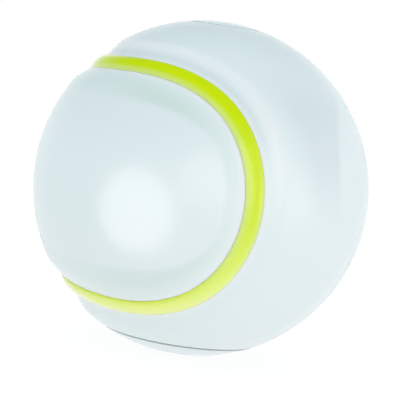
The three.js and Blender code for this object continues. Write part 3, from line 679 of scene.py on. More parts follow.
@dataclass
class TopPole:
    """The plug at the top pole, and what the port panel has for it: recess, boss and axle socket."""

    ball: float
    wall: float
    plug: float
    plug_low: float
    axle: float
    boss_low: float
    axle_high: float
    play: float = 0.3 * MM
    fit: float = 0.15 * MM
    cap: float = 1.7 * MM
    edge: float = 0.35 * MM
    rim_turn: float = 68.0
    rim_steps: int = 4
    dome_shares: tuple[float, ...] = (0.9, 0.75, 0.6, 0.45, 0.3, 0.15)
    skirt: float = 5.6 * MM
    skirt_wall: float = 1.0 * MM
    boss: float = 6.5 * MM
    boss_flange: float = 10.5 * MM
    boss_shares: tuple[float, ...] = (1.0, 0.8, 0.6, 0.4, 0.2)
    flange_depth: float = 4.0 * MM
    axle_flat: float = 1.9 * MM
    screw: float = 1.25 * MM

    def dome_height(self, across: float) -> float:
        """Height of the ball's surface at a distance from the axle."""
        return math.sqrt(self.ball * self.ball - across * across)

    def recess_cutter(self) -> Piece:
        """A cutter for the plug's recess, with a softened rim.

        Returns:
            The new object.
        """
        rim = self.plug + self.play
        floor = self.ball - self.cap - self.play
        lip = self.dome_height(rim + self.edge)
        skirt_floor = floor - (self.ball - self.cap - self.plug_low) - self.play
        return turned("recess_cutter", [
            Point(0.0, skirt_floor),
            Point(self.skirt + self.play, skirt_floor),
            Point(self.skirt + self.play, floor),
            Point(rim, floor),
            *arc(Point(rim + self.edge, lip - self.edge), self.edge, 180.0, 90.0, EDGE_STEPS),
            Point(rim + self.edge, self.ball + self.wall),
            Point(0.0, self.ball + self.wall),
        ])

    def boss_blank(self) -> Piece:
        """The boss inside the panel that holds the axle, with a domed top that ends within the wall.

        Returns:
            The new object, with no hole in it.
        """
        shelf = self.ball - self.wall - self.flange_depth
        inside = self.ball - self.wall / 2
        across = [self.boss_flange * share for share in self.boss_shares]
        return turned("boss_blank", [
            Point(0.0, self.boss_low),
            Point(self.boss - self.edge, self.boss_low),
            Point(self.boss, self.boss_low + self.edge),
            Point(self.boss, shelf),
            Point(self.boss_flange, shelf + self.boss_flange - self.boss),
            *[Point(distance, math.sqrt(inside ** 2 - distance ** 2)) for distance in across],
            Point(0.0, inside),
        ], Faces.BOSS)

    def socket_cutters(self) -> list[Piece]:
        """Cutters for the axle's flat-sided hole and for the hole of its screw.

        Returns:
            The two new objects.
        """
        low = self.boss_low - self.wall
        shape = round_bar(self.axle + self.fit, low, self.axle_high + self.fit, steps=Faces.AXLE)
        flat = Vector((self.axle_flat + self.fit, 0.0, 0.0))
        whole = shape.verts[:] + shape.edges[:] + shape.faces[:]
        bmesh.ops.bisect_plane(
            shape, geom=whole, dist=WELD, plane_co=flat, plane_no=(1, 0, 0), clear_outer=True,
        )
        bmesh.ops.holes_fill(shape, edges=[edge for edge in shape.edges if edge.is_boundary])
        screw = round_bar(self.screw + self.play, self.axle_high, self.ball - self.wall)
        return [finish_mesh("axle_cutter", shape), finish_mesh("screw_cutter", screw)]

    def plug_moulding(self) -> Piece:
        """The round plug with its skirt and a softened rim.

        Returns:
            The new object.
        """
        under = self.ball - self.cap
        shoulder = self.plug - self.edge
        rim_middle = Point(shoulder, self.dome_height(shoulder) - self.edge)
        inner = self.skirt - self.skirt_wall
        across = [self.plug * share for share in self.dome_shares]
        return turned("pole_plug_moulding", [
            Point(0.0, under),
            Point(inner, under),
            Point(inner, self.plug_low),
            Point(self.skirt - self.play, self.plug_low),
            Point(self.skirt, self.plug_low + self.play),
            Point(self.skirt, under),
            Point(self.plug, under),
            *arc(rim_middle, self.edge, 0.0, self.rim_turn, self.rim_steps),
            *[Point(distance, self.dome_height(distance)) for distance in across],
            Point(0.0, self.ball),
        ])

    def build(self, dresser: Dresser) -> None:
        """Model the plug and dress it."""
        dresser.stand_for(self.plug_moulding(), "pole_plug")


@dataclass
class PortEnd:
    """The screw cover at the bottom pole, the ring it screws into, and the hole in the port panel."""

    ball: float
    wall: float
    cover: float
    neck_high: float
    ring_flange: float
    ring_high: float
    ring_foot: float
    play: float = 0.3 * MM
    fit: float = 0.15 * MM
    edge: float = 0.4 * MM
    rim: float = 2.1 * MM
    rim_turn: float = 62.0
    dome_shares: tuple[float, ...] = (0.08, 0.2, 0.32, 0.44, 0.56, 0.68, 0.8, 0.9)
    neck: float = 15.1 * MM
    neck_wall: float = 2.0 * MM
    thread: float = 0.8 * MM
    thread_width: float = 1.1 * MM
    thread_steps: int = 24
    lead: float = 9.0 * MM
    starts: int = 3
    male_turn: float = math.radians(72.0)
    female_turn: float = math.radians(108.0)
    slot_length: float = 14.0 * MM
    slot_width: float = 2.2 * MM
    slot_depth: float = 1.5 * MM
    slot_roundness: float = 0.98
    collar_walls: float = 1.5
    flange_height: float = 2.0 * MM
    ring_top: float = 19.0 * MM
    bearing_height: float = 3.9 * MM
    bearing_step: float = 1.6 * MM

    def dome_height(self, radius: float, across: float) -> float:
        """Height of a sphere's lower half at a distance from the axle."""
        return -math.sqrt(radius * radius - across * across)

    @property
    def seat(self) -> float:
        """Height of the cover's flat rim."""
        return self.dome_height(self.ball, self.cover) + self.rim

    @property
    def bore(self) -> float:
        """Radius of the ring's bore at the thread's root."""
        return self.neck + self.thread + self.play

    @property
    def thread_foot(self) -> float:
        """Height of the middle of the ring's ridges where they start."""
        return self.ring_foot + self.thread_width / 2 + self.fit

    @property
    def collar_high(self) -> float:
        """Height of the flat collar inside the panel that the ring's flange sits on."""
        return self.dome_height(self.ball - self.collar_walls * self.wall, self.ring_flange)

    def hole_cutter(self) -> Piece:
        """A cutter for the port's hole, with a softened rim.

        Returns:
            The new object.
        """
        rim = self.cover + self.play
        lip = self.dome_height(self.ball, rim + self.edge) + self.edge
        return turned("port_cutter", [
            Point(0.0, self.collar_high + self.wall),
            Point(rim, self.collar_high + self.wall),
            *arc(Point(rim + self.edge, lip), self.edge, 180.0, 270.0, EDGE_STEPS),
            Point(rim + self.edge, -self.ball - self.wall),
            Point(0.0, -self.ball - self.wall),
        ], Faces.PORT)

    def collar_blank(self) -> Piece:
        """The collar round the hole's inside.

        Returns:
            The new object.
        """
        outer = self.ring_flange + self.play
        return turned("collar_blank", [
            Point(self.cover, self.seat),
            Point(outer, self.seat),
            Point(outer, self.collar_high),
            Point(self.cover, self.collar_high),
        ], Faces.PORT)

    def ridge(self, root: float, crest: float, foot: float, start: float, turn: float) -> Piece:
        """One start of the right-hand thread.

        Args:
            root: Radius inside the wall that carries it.
            crest: Radius of its crest.
            foot: Height of its middle where it starts.
            start: Angle where it starts.
            turn: Angle that it runs through.

        Returns:
            The new object.
        """
        half = self.thread_width / 2
        shape = bmesh.new()
        section = [(root, -half), (crest, -half / 2), (crest, half / 2), (root, half)]
        way = Vector((math.cos(start), math.sin(start), 0.0))
        spots = [way * across + Vector((0.0, 0.0, foot + rise)) for across, rise in section]
        face = shape.faces.new([shape.verts.new(spot) for spot in spots])
        climb = self.lead * turn / FULL_TURN / self.thread_steps
        bmesh.ops.spin(
            shape, geom=[*face.verts, *face.edges, face], cent=(0, 0, 0), axis=(0, 0, 1), dvec=(0, 0, climb),
            angle=turn, steps=self.thread_steps, use_merge=False, use_normal_flip=False, use_duplicate=True,
        )
        return finish_mesh("ridge", shape)

    def ridges(self, root: float, crest: float, foot: float, lag: float, turn: float) -> list[Piece]:
        """All starts of the thread, evenly spaced.

        Args:
            root: Radius inside the wall that carries them.
            crest: Radius of their crests.
            foot: Height of their middles where they start.
            lag: Angle that they are all turned back by.
            turn: Angle that each runs through.

        Returns:
            The new objects.
        """
        angles = [FULL_TURN * start / self.starts - lag for start in range(self.starts)]
        return [self.ridge(root, crest, foot, angle, turn) for angle in angles]

    def cover_moulding(self) -> Piece:
        """The screw cover: dome, rim, threaded neck and coin slot.

        Returns:
            The new object.
        """
        shoulder = self.cover - self.edge
        rim_middle = Point(shoulder, self.dome_height(self.ball, shoulder) + self.edge)
        across = [self.cover * share for share in self.dome_shares]
        cavity = self.neck - self.neck_wall
        floor = self.dome_height(self.ball, cavity) + self.wall
        soft = self.edge / 2
        piece = turned("port_cover_moulding", [
            Point(0.0, -self.ball),
            *[Point(distance, self.dome_height(self.ball, distance)) for distance in across],
            *arc(rim_middle, self.edge, -self.rim_turn, 0.0, EDGE_STEPS),
            Point(self.cover, self.seat - soft),
            Point(self.cover - soft, self.seat),
            Point(self.neck, self.seat),
            Point(self.neck, self.neck_high - soft),
            Point(self.neck - soft, self.neck_high),
            Point(cavity + soft, self.neck_high),
            Point(cavity, self.neck_high - soft),
            Point(cavity, floor),
            Point(0.0, floor),
        ], Faces.PORT)
        pitch = self.lead / self.starts
        foot = self.thread_foot + pitch / 4
        lag = math.pi / (2 * self.starts)
        crest = self.neck + self.thread
        combine(piece, self.ridges(self.neck - self.fit, crest, foot, lag, self.male_turn), Combine.JOIN)
        half = Vector((self.slot_length / 2, self.slot_width / 2, 0.0))
        low = Vector((-half.x, -half.y, -self.ball - self.wall))
        high = Vector((half.x, half.y, -self.ball + self.slot_depth))
        combine(piece, [block("slot_cutter", low, high, half.y * self.slot_roundness)], Combine.CUT)
        return piece

    def ring_moulding(self) -> Piece:
        """The port ring: flange, threaded bore and the drive unit's lower bearing.

        Returns:
            The new object.
        """
        bearing_low = self.ring_high - self.bearing_height
        bearing = self.bore - self.bearing_step
        seat = self.collar_high + self.play
        soft = self.edge / 2
        piece = turned("port_ring_moulding", [
            Point(self.bore, self.ring_foot + soft),
            Point(self.bore + soft, self.ring_foot),
            Point(self.cover - soft, self.ring_foot),
            Point(self.cover, self.ring_foot + soft),
            Point(self.cover, seat),
            Point(self.ring_flange, seat),
            Point(self.ring_flange, seat + self.flange_height),
            Point(self.ring_top, self.ring_high),
            Point(bearing + soft, self.ring_high),
            Point(bearing, self.ring_high - soft),
            Point(bearing, bearing_low + soft),
            Point(bearing + soft, bearing_low),
            Point(self.bore, bearing_low),
        ], Faces.PORT)
        root, crest = self.bore + self.fit, self.bore - self.thread
        combine(piece, self.ridges(root, crest, self.thread_foot, 0.0, self.female_turn), Combine.JOIN)
        return piece

    def build(self, dresser: Dresser) -> None:
        """Model the cover and the ring, and dress them."""
        dresser.stand_for(self.cover_moulding(), "port_cover")
        dresser.stand_for(self.ring_moulding(), "port_ring")


@dataclass(frozen=True)
class Room:
    """The box that a node fills: its middle in X and Y, its half sizes and its two heights."""

    spot: Pair
    half: Pair
    low: float
    high: float

    @classmethod
    def of(cls, node: str) -> Room:
        """The room of a node at rest.

        Args:
            node: Name of the node.

        Returns:
            Its room.
        """
        low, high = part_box(node)
        middle, half = (low + high) / 2, (high - low) / 2
        return cls((middle.x, middle.y), (half.x, half.y), low.z, high.z)


@dataclass
class EndPanel:
    """What shows when the cover is off: plate, power button, status lens, socket, screws and gasket.

    The domes of the lens and of a screw are given as shares of the radius, each with its share of the
    softening or of the head's height.
    """

    plate: Room
    button: Room
    lens: Room
    socket: Room
    screws: tuple[Room, Room]
    gasket: Room
    play: float = 0.3 * MM
    soft: float = 0.4 * MM
    dish: float = 9.9 * MM
    dish_depth: float = 0.3 * MM
    key: float = 3.0 * MM
    key_hollow: float = 0.25 * MM
    key_margin: float = 0.64 * MM
    hollow_shares: Pair = (0.3, 0.55)
    key_flange: float = 0.6 * MM
    key_stem: float = 1.4 * MM
    stem_length: float = 1.26 * MM
    lens_dome: tuple[Pair, ...] = ((0.5, 0.2), (0.85, 0.6), (1.0, 1.2))
    socket_wall: float = 0.3 * MM
    socket_back: float = 0.8 * MM
    socket_roundness: float = 0.92
    head_height: float = 1.0 * MM
    head_dome: tuple[Pair, ...] = ((0.5, 0.06), (0.85, 0.24), (1.0, 0.5))
    shank: float = 0.7 * MM
    cross_width: float = 0.35 * MM
    cross_depth: float = 0.5 * MM
    cross_share: float = 0.62
    gasket_steps: int = 24

    def hole(self, radius: float, spot: Pair, depth: float) -> Piece:
        """A cutter for a round hole from the plate's face, with a flared mouth.

        Args:
            radius: Radius of the hole.
            spot: Its middle in X and Y.
            depth: How deep it goes.

        Returns:
            The new object.
        """
        face = self.plate.low + (self.dish_depth if math.hypot(*spot) < self.dish else 0.0)
        flare = self.soft / 2
        return turned("hole_cutter", [
            Point(0.0, face - self.head_height),
            Point(radius + flare, face - self.head_height),
            Point(radius + flare, face),
            Point(radius, face + flare),
            Point(radius, self.plate.low + depth),
            Point(0.0, self.plate.low + depth),
        ], Faces.SCREW, spot)

    def window(self) -> Piece:
        """A cutter for the socket's window.

        Returns:
            The new object.
        """
        x, y = self.socket.spot
        wide, tall = (half + self.play for half in self.socket.half)
        low = Vector((x - wide, y - tall, self.plate.low - self.head_height))
        high = Vector((x + wide, y + tall, self.plate.high + self.head_height))
        return block("window_cutter", low, high, tall * self.socket_roundness)

    def plate_moulding(self) -> Piece:
        """The plate with its dished middle and its holes.

        Returns:
            The new object.
        """
        rim, low, high = self.plate.half[0], self.plate.low, self.plate.high
        piece = turned("end_plate_moulding", [
            Point(0.0, high),
            Point(rim, high),
            *arc(Point(rim - self.soft, low + self.soft), self.soft, 0.0, -90.0, EDGE_STEPS),
            Point(self.dish + self.dish_depth, low),
            Point(self.dish, low + self.dish_depth),
            Point(0.0, low + self.dish_depth),
        ], Faces.PLATE)
        through = high - low + self.head_height
        holes = [
            self.window(),
            self.hole(self.key + self.play, self.button.spot, through),
            self.hole(self.lens.half[0] + self.play / 2, self.lens.spot, through),
        ]
        for screw in self.screws:
            holes.append(self.hole(screw.half[0] + self.play, screw.spot, self.head_height))
            shank = round_bar(self.shank + self.play / 2, low, high + self.play, screw.spot, Faces.SHANK)
            holes.append(finish_mesh("shank_cutter", shank))
        combine(piece, holes, Combine.CUT)
        return piece

    def button_moulding(self) -> Piece:
        """The power button with a dished face, its flange and its stem.

        Returns:
            The new object.
        """
        face, top, flange = self.button.low, self.button.high, self.button.half[0]
        shelf = top - self.stem_length
        hollow = [
            Point(self.key * share, face + self.key_hollow * (1 - share * share))
            for share in self.hollow_shares
        ]
        return turned("power_button_moulding", [
            Point(0.0, face + self.key_hollow),
            *hollow,
            Point(self.key - self.key_margin, face),
            *arc(Point(self.key - self.soft, face + self.soft), self.soft, -90.0, 0.0, EDGE_STEPS),
            Point(self.key, shelf - self.key_flange),
            Point(flange, shelf - self.key_flange),
            Point(flange, shelf),
            Point(self.key_stem, shelf),
            Point(self.key_stem, top),
            Point(0.0, top),
        ], Faces.BOSS, self.button.spot)

    def lens_moulding(self) -> Piece:
        """The clear rod of the status light with a domed end.

        Returns:
            The new object.
        """
        radius, low, high = self.lens.half[0], self.lens.low, self.lens.high
        return turned("status_lens_moulding", [
            Point(0.0, low),
            *[Point(radius * across, low + self.soft * rise) for across, rise in self.lens_dome],
            Point(radius, high),
            Point(0.0, high),
        ], Faces.AXLE, self.lens.spot)

    def socket_pressing(self) -> Piece:
        """The drawn steel shell of the charging socket.

        Returns:
            The new object.
        """
        (x, y), (wide, tall) = self.socket.spot, self.socket.half
        low = Vector((x - wide, y - tall, self.socket.low))
        high = Vector((x + wide, y + tall, self.socket.high))
        wall = Vector((self.socket_wall, self.socket_wall, 0.0))
        mouth = Vector((0.0, 0.0, self.head_height))
        back = Vector((0.0, 0.0, self.socket_back))
        piece = block("socket_shell_pressing", low, high, tall * self.socket_roundness)
        rounding = (tall - self.socket_wall) * self.socket_roundness
        combine(piece, [block("cavity", low + wall - mouth, high - wall - back, rounding)], Combine.CUT)
        return piece

    def screw(self, name: str, room: Room) -> Piece:
        """A small domed screw with a cross recess.

        Args:
            name: Name of the new piece.
            room: The box that it fills.

        Returns:
            The new object.
        """
        head, low, high = room.half[0], room.low, room.high
        under = low + self.head_height
        piece = turned(name, [
            Point(0.0, low),
            *[Point(head * across, low + self.head_height * rise) for across, rise in self.head_dome],
            Point(head, under),
            Point(self.shank, under),
            Point(self.shank, high - self.shank / 2),
            Point(self.shank / 2, high),
            Point(0.0, high),
        ], Faces.SCREW, room.spot)
        x, y = room.spot
        arm, half = head * self.cross_share, self.cross_width / 2
        for wide, tall in ((arm, half), (half, arm)):
            start = Vector((x - wide, y - tall, low - self.head_height))
            end = Vector((x + wide, y + tall, low + self.cross_depth))
            combine(piece, [block("cross_cutter", start, end)], Combine.CUT)
        return piece

    def gasket_ring(self) -> Piece:
        """The round cord that seals the cover.

        Returns:
            The new object.
        """
        thick = (self.gasket.high - self.gasket.low) / 2
        middle = Point(self.gasket.half[0] - thick, self.gasket.low + thick)
        steps = self.gasket_steps - 1
        section = arc(middle, thick, 0.0, 360.0 * steps / self.gasket_steps, steps)
        return turned("cover_gasket_ring", section, Faces.PORT)

    def build(self, dresser: Dresser) -> None:
        """Model every piece of the end panel and dress it.

        Args:
            dresser: Gives each piece its body, slot and material.
        """
        dresser.stand_for(self.plate_moulding(), "end_plate")
        dresser.stand_for(self.button_moulding(), "power_button")
        dresser.stand_for(self.lens_moulding(), "status_lens")
        dresser.stand_for(self.socket_pressing(), "socket_shell")
        dresser.stand_for(self.gasket_ring(), "cover_gasket")
        for count, room in enumerate(self.screws, 1):
            node = f"end_plate_screw_{count}"
            dresser.stand_for(self.screw(f"{node}_turned", room), node)


def linear(code: str) -> tuple[float, float, float, float]:
    """A colour code such as #c3de1e as linear light with full opacity."""
    levels = [int(code[i:i + 2], 16) / 255 for i in (1, 3, 5)]
    return (*[v / 12.92 if v <= 0.04045 else ((v + 0.055) / 1.055) ** 2.4 for v in levels], 1.0)


class NodeSketch:
    """A node tree with short ways to add and join nodes."""

    def __init__(self, tree: bpy.types.NodeTree) -> None:
        """Start with an emptied tree."""
        self.tree = tree
        self.tree.nodes.clear()

    def add(self, kind: str, **settings: object) -> bpy.types.Node:
        """Add a node.

        Args:
            kind: Type of the node.
            **settings: Values of its properties.

        Returns:
            The new node.
        """
        node = self.tree.nodes.new(kind)
        for key, value in settings.items():
            setattr(node, key, value)
        return node

    def join(self, source: Socket, target: Socket) -> None:
        """Link one socket to another."""
        self.tree.links.new(source, target)

    def feed(self, target: Socket, value: object) -> None:
        """Link a socket to another one, or set it to a fixed value.

        Args:
            target: The socket that is fed.
            value: A socket, a number or a colour.
        """
        if isinstance(value, bpy.types.NodeSocket):
            self.join(value, target)
        else:
            target.default_value = value

    def span(self, value: Socket, source: Pair, target: Pair) -> Socket:
        """A value carried smoothly from one range to another.

        Args:
            value: The value to carry.
            source: The range it comes in.
            target: The range it leaves in.

        Returns:
            The carried value.
        """
        node = self.add("ShaderNodeMapRange", interpolation_type="SMOOTHSTEP")
        for name, level in zip(("From Min", "From Max", "To Min", "To Max"), (*source, *target)):
            node.inputs[name].default_value = level
        self.join(value, node.inputs["Value"])
        return node.outputs["Result"]

    def mix(self, share: Socket, first: object, second: object, kind: Blend = Blend.COLOUR) -> Socket:
        """A colour or number between two others.

        Args:
            share: The share of the second, from 0 to 1.
            first: A socket or a fixed value.
            second: A socket or a fixed value.
            kind: Whether colours or numbers are mixed.

        Returns:
            The mixed value.
        """
        data_type, first_input, second_input, result = kind.value
        node = self.add("ShaderNodeMix", data_type=data_type)
        self.join(share, node.inputs[0])
        self.feed(node.inputs[first_input], first)
        self.feed(node.inputs[second_input], second)
        return node.outputs[result]

    def maths(self, operation: str, *values: Socket | float) -> Socket:
        """The result of a Math node.

        Args:
            operation: What the node does.
            *values: Sockets or fixed numbers.

        Returns:
            The result.
        """
        node = self.add("ShaderNodeMath", operation=operation)
        for target, value in zip(node.inputs, values):
            self.feed(target, value)
        return node.outputs[0]

    def times(self, *values: Socket) -> Socket:
        """The product of two or more values.

        Args:
            *values: The values.

        Returns:
            Their product.
        """
        product = values[0]
        for value in values[1:]:
            product = self.maths("MULTIPLY", product, value)
        return product

    def toward(self, spot: Socket, direction: Triple | Vector) -> Socket:
        """How far a place lies along a direction.

        Args:
            spot: The place.
            direction: A direction of length 1.

        Returns:
            The distance from the origin along the direction.
        """
        node = self.add("ShaderNodeVectorMath", operation="DOT_PRODUCT")
        node.inputs[1].default_value = direction
        self.join(spot, node.inputs[0])
        return node.outputs["Value"]


class SurfaceSketch(NodeSketch):
    """A material with a principled surface, patterned in the piece's own space."""

    def __init__(self, name: str) -> None:
        """Start a material.

        Args:
            name: Name of the material.
        """
        self.material = bpy.data.materials.new(name)
        self.material.use_nodes = True
        super().__init__(self.material.node_tree)
        self.surface = self.add("ShaderNodeBsdfPrincipled")
        output = self.add("ShaderNodeOutputMaterial")
        self.join(self.surface.outputs["BSDF"], output.inputs["Surface"])
        self.spot = self.add("ShaderNodeTexCoord").outputs["Object"]

    def set(self, **values: object) -> None:
        """Set sockets of the principled surface, with underscores for the spaces in their names."""
        for key, value in values.items():
            self.surface.inputs[key.replace("_", " ")].default_value = value

    def noise(self, scale: float, detail: float = 2.0) -> Socket:
        """Soft noise from 0 to 1.

        Args:
            scale: How many waves there are to a metre.
            detail: How many finer layers it has.

        Returns:
            The noise.
        """
        node = self.add("ShaderNodeTexNoise")
        node.inputs["Scale"].default_value = scale
        node.inputs["Detail"].default_value = detail
        self.join(self.spot, node.inputs["Vector"])
        return node.outputs["Fac"]

    def bump(self, height: Socket, depth: float) -> None:
        """Raise the surface by a height field.

        Args:
            height: The height field, from 0 to 1.
            depth: Its depth in metres.
        """
        node = self.add("ShaderNodeBump")
        node.inputs["Strength"].default_value = 1.0
        node.inputs["Distance"].default_value = depth
        self.join(height, node.inputs["Height"])
        self.join(node.outputs["Normal"], self.surface.inputs["Normal"])

    def layer(self, name: str) -> Socket:
        """The value of a piece's own attribute, which is 0 where a piece has none."""
        return self.add("ShaderNodeAttribute", attribute_name=name, attribute_type="GEOMETRY").outputs["Fac"]

    def along(self, direction: Triple) -> Socket:
        """Distance from the ball's centre along a direction of the piece's own space."""
        return self.toward(self.spot, direction)

    def upright(self) -> Socket:
        """Height above the ball's centre."""
        return self.along((0.0, 0.0, 1.0))

    def reach(self, axes: Triple) -> Socket:
        """Distance from the ball's centre, counted along some axes only.

        Args:
            axes: 1 for each axis that counts; with X and Y alone it is the distance from the axle.

        Returns:
            The distance.
        """
        flat = self.add("ShaderNodeVectorMath", operation="MULTIPLY")
        flat.inputs[1].default_value = axes
        self.join(self.spot, flat.inputs[0])
        length = self.add("ShaderNodeVectorMath", operation="LENGTH")
        self.join(flat.outputs["Vector"], length.inputs[0])
        return length.outputs["Value"]

    def paint(self, colour: Socket) -> None:
        """Use a socket as the surface's colour."""
        self.join(colour, self.surface.inputs["Base Color"])

    def roughen(self, value: Socket) -> None:
        """Use a socket as the surface's roughness."""
        self.join(value, self.surface.inputs["Roughness"])


@dataclass(frozen=True)
class Finish:
    """A moulded, plated or coated surface with slight clouding, uneven gloss and a fine grain."""

    name: str
    colour: str
    cloud: str
    gloss: Pair = (0.4, 0.5)
    metal: float = 0.0
    cloud_scale: float = 120.0
    grain_scale: float = 2500.0
    grain: float = 0.01 * MM
    gloss_fineness: float = field(default=3.0, kw_only=True)
    gloss_noise: Pair = field(default=(0.3, 0.7), kw_only=True)
    grain_detail: float = field(default=4.0, kw_only=True)

    def build(self) -> bpy.types.Material:
        """Make the finish.

        Returns:
            The finish as a material.
        """
        sketch = SurfaceSketch(self.name)
        sketch.set(Metallic=self.metal)
        self.coat(sketch)
        sketch.paint(self.colouring(sketch))
        unevenness = sketch.noise(self.cloud_scale * self.gloss_fineness)
        sketch.roughen(sketch.span(unevenness, self.gloss_noise, self.gloss))
        sketch.bump(sketch.noise(self.grain_scale, self.grain_detail), self.grain)
        return sketch.material

    def colouring(self, sketch: SurfaceSketch) -> Socket:
        """The two colours of the surface, clouded into each other."""
        return sketch.mix(sketch.noise(self.cloud_scale), linear(self.colour), linear(self.cloud))

    def coat(self, sketch: SurfaceSketch) -> None:
        """Set the sockets that a special finish adds; a plain one adds none."""


@dataclass(frozen=True)
class MilkyPlastic(Finish):
    """Cloudy shell plastic that lets some light through, with bands beside the seam where its rib partly shows
    through, and with painted shade, highlights and light.

    Distances from the seam are in shares of SEAM_REACH.
    """

    # Band beside the seam on the side panel: partly the rib showing through, partly painted shade and painted
    # green light from the bead.
    band: str = "#cfe2da"
    band_rise: Pair = (0.14, 0.4)
    band_fall: Pair = (0.28, 0.38)
    band_heights: Pair = (8.0 * MM, 26.0 * MM)
    band_widening: float = 0.38
    band_offset: float = -2.0 * MM
    top_heights: Pair = (12.0 * MM, 26.0 * MM)
    top_strengths: Pair = (0.3, 1.0)
    low_heights: Pair = (-12.0 * MM, 2.0 * MM)
    low_strength: float = 0.26
    band_facing: Triple = (0.89, 0.45, 0.0)
    band_start: Pair = (-28.0 * MM, -8.0 * MM)
    band_least: float = 0.25
    # Darker strip by the bead on the port panel's upper half: partly the rib showing through, partly painted
    # shade.
    rib: str = "#d9e4e7"
    rib_rise: Pair = (0.09, 0.12)
    rib_fall: Pair = (0.17, 0.27)
    # Painted highlight on the shoulder's crest, on the upper half.
    crest: str = "#e8eff1"
    highlight_rise: Pair = (0.21, 0.32)
    highlight_fall: Pair = (0.34, 0.48)
    upper_heights: Pair = (-6.0 * MM, 22.0 * MM)
    # Painted shade patch on the port panel, with a crisp edge.
    painted_shade_tone: str = "#d8e3e6"
    patch_facing: Triple = (0.876, 0.458, 0.15)
    patch_front: Triple = (0.45, -0.888, 0.085)
    patch_rise: Pair = (0.42, 0.85)
    patch_edge: Pair = (30.7 * MM, 31.7 * MM)
    patch_heights: Pair = (-3.0 * MM, 14.0 * MM)
    patch_tops: Pair = (20.0 * MM, 32.0 * MM)
    patch_depths: Pair = (4.0 * MM, 14.0 * MM)
    # Painted light on the lips beside the bead, which lifts the shade of the crevice.
    painted_lip_light: str = "#ecf4f6"
    # Painted shade of the gaps along the parting lines round the cover and the plug.
    gap_shade_tone: str = "#9dadb0"
    skin: Pair = (39.0 * MM, 39.6 * MM)
    port_line: Pair = (18.15 * MM, 19.15 * MM)
    plug_line: Pair = (8.05 * MM, 8.85 * MM)
    plug_gap_shade: float = 0.5
    middle_heights: Pair = (-10.0 * MM, 10.0 * MM)
    gloss_fineness: float = field(default=4.0, kw_only=True)
    grain_detail: float = field(default=3.0, kw_only=True)

    def coat(self, sketch: SurfaceSketch) -> None:
        """Let light deep into the plastic, under a bright skin."""
        sketch.set(
            IOR=1.49, Specular_IOR_Level=0.85, Subsurface_Weight=0.9, Subsurface_Radius=(1.0, 1.0, 1.0),
            Subsurface_Scale=0.8 * MM,
        )

    def colouring(self, sketch: SurfaceSketch) -> Socket:
        """The clouded colour with the seam's bands of rib and painted shade, a painted crest highlight, the
        painted shade patch, painted light on the lips and painted shade in the parting lines.

        Args:
            sketch: The material to draw in.

        Returns:
            The colour.
        """
        height = sketch.upright()
        away = sketch.layer("port_distance")
        upper = sketch.span(height, self.upper_heights, RISING)
        # Rib strip, partly painted shade, on the upper half only.
        rib = sketch.times(self.stripe(sketch, away, self.rib_rise, self.rib_fall), upper)
        # Painted highlight on the shoulder's crest, on the upper half only.
        crest = sketch.times(self.stripe(sketch, away, self.highlight_rise, self.highlight_fall), upper)
        # Painted shade of the gaps: full round the cover, half round the plug.
        low_half = sketch.span(height, self.middle_heights, FALLING)
        high_half = sketch.span(height, self.middle_heights, (0.0, self.plug_gap_shade))
        colour = super().colouring(sketch)
        for share, tone in (
            (self.shaded_side_band(sketch, height), self.band),
            (rib, self.rib),
            (crest, self.crest),
            (self.painted_shade_patch(sketch, height, away), self.painted_shade_tone),
            (sketch.layer("painted_lip_light"), self.painted_lip_light),
            (sketch.times(self.line(sketch, self.port_line), low_half), self.gap_shade_tone),
            (sketch.times(self.line(sketch, self.plug_line), high_half), self.gap_shade_tone),
        ):
            colour = sketch.mix(share, colour, linear(tone))
        return colour

    def stripe(self, sketch: SurfaceSketch, value: Socket, rise: Pair, fall: Pair) -> Socket:
        """One between two ranges of a value, and zero outside them."""
        return sketch.times(sketch.span(value, rise, RISING), sketch.span(value, fall, FALLING))

    def shaded_side_band(self, sketch: SurfaceSketch, height: Socket) -> Socket:
        """The side panel's band, partly the rib showing through and partly painted shade, crisp towards the
        panel's middle and wider far from the equator.

        Args:
            sketch: The material to draw in.
            height: Height above the ball's centre.

        Returns:
            The band's strength.
        """
        away = sketch.layer("seam_distance")
        far = sketch.maths("ABSOLUTE", sketch.maths("ADD", height, self.band_offset))
        widening = sketch.span(far, self.band_heights, (1.0, self.band_widening))
        rise = sketch.span(away, self.band_rise, RISING)
        fall = sketch.span(sketch.times(away, widening), self.band_fall, FALLING)
        # Painted shade: the band's strength changes with height and fades towards one side of the ball.
        upper = sketch.span(height, self.top_heights, self.top_strengths)
        lower = sketch.span(height, self.low_heights, (self.low_strength, 0.0))
        start = sketch.span(sketch.along(self.band_facing), self.band_start, (self.band_least, 1.0))
        return sketch.times(rise, fall, start, sketch.maths("ADD", upper, lower))

    def painted_shade_patch(self, sketch: SurfaceSketch, height: Socket, away: Socket) -> Socket:
        """The port panel's patch of painted shade, which ends in a crisp edge.

        Args:
            sketch: The material to draw in.
            height: Height above the ball's centre.
            away: Distance from the seam.

        Returns:
            The patch's strength.
        """
        rise = sketch.span(away, self.patch_rise, RISING)
        fall = sketch.span(sketch.along(self.patch_facing), self.patch_edge, FALLING)
        between = self.stripe(sketch, height, self.patch_heights, self.patch_tops)
        front = sketch.span(sketch.along(self.patch_front), self.patch_depths, RISING)
        return sketch.times(rise, fall, between, front)

    def line(self, sketch: SurfaceSketch, reach: Pair) -> Socket:
        """The skin in a ring round the axle along a parting line, where the shade of the gap is painted.

        Args:
            sketch: The material to draw in.
            reach: Where the ring starts and ends, from the axle.

        Returns:
            The line's strength.
        """
        soft = (reach[1] - reach[0]) / 4
        across = sketch.reach((1.0, 1.0, 0.0))
        ring = self.stripe(sketch, across, (reach[0], reach[0] + soft), (reach[1] - soft, reach[1]))
        outside = sketch.span(sketch.reach((1.0, 1.0, 1.0)), self.skin, RISING)
        return sketch.times(ring, outside)


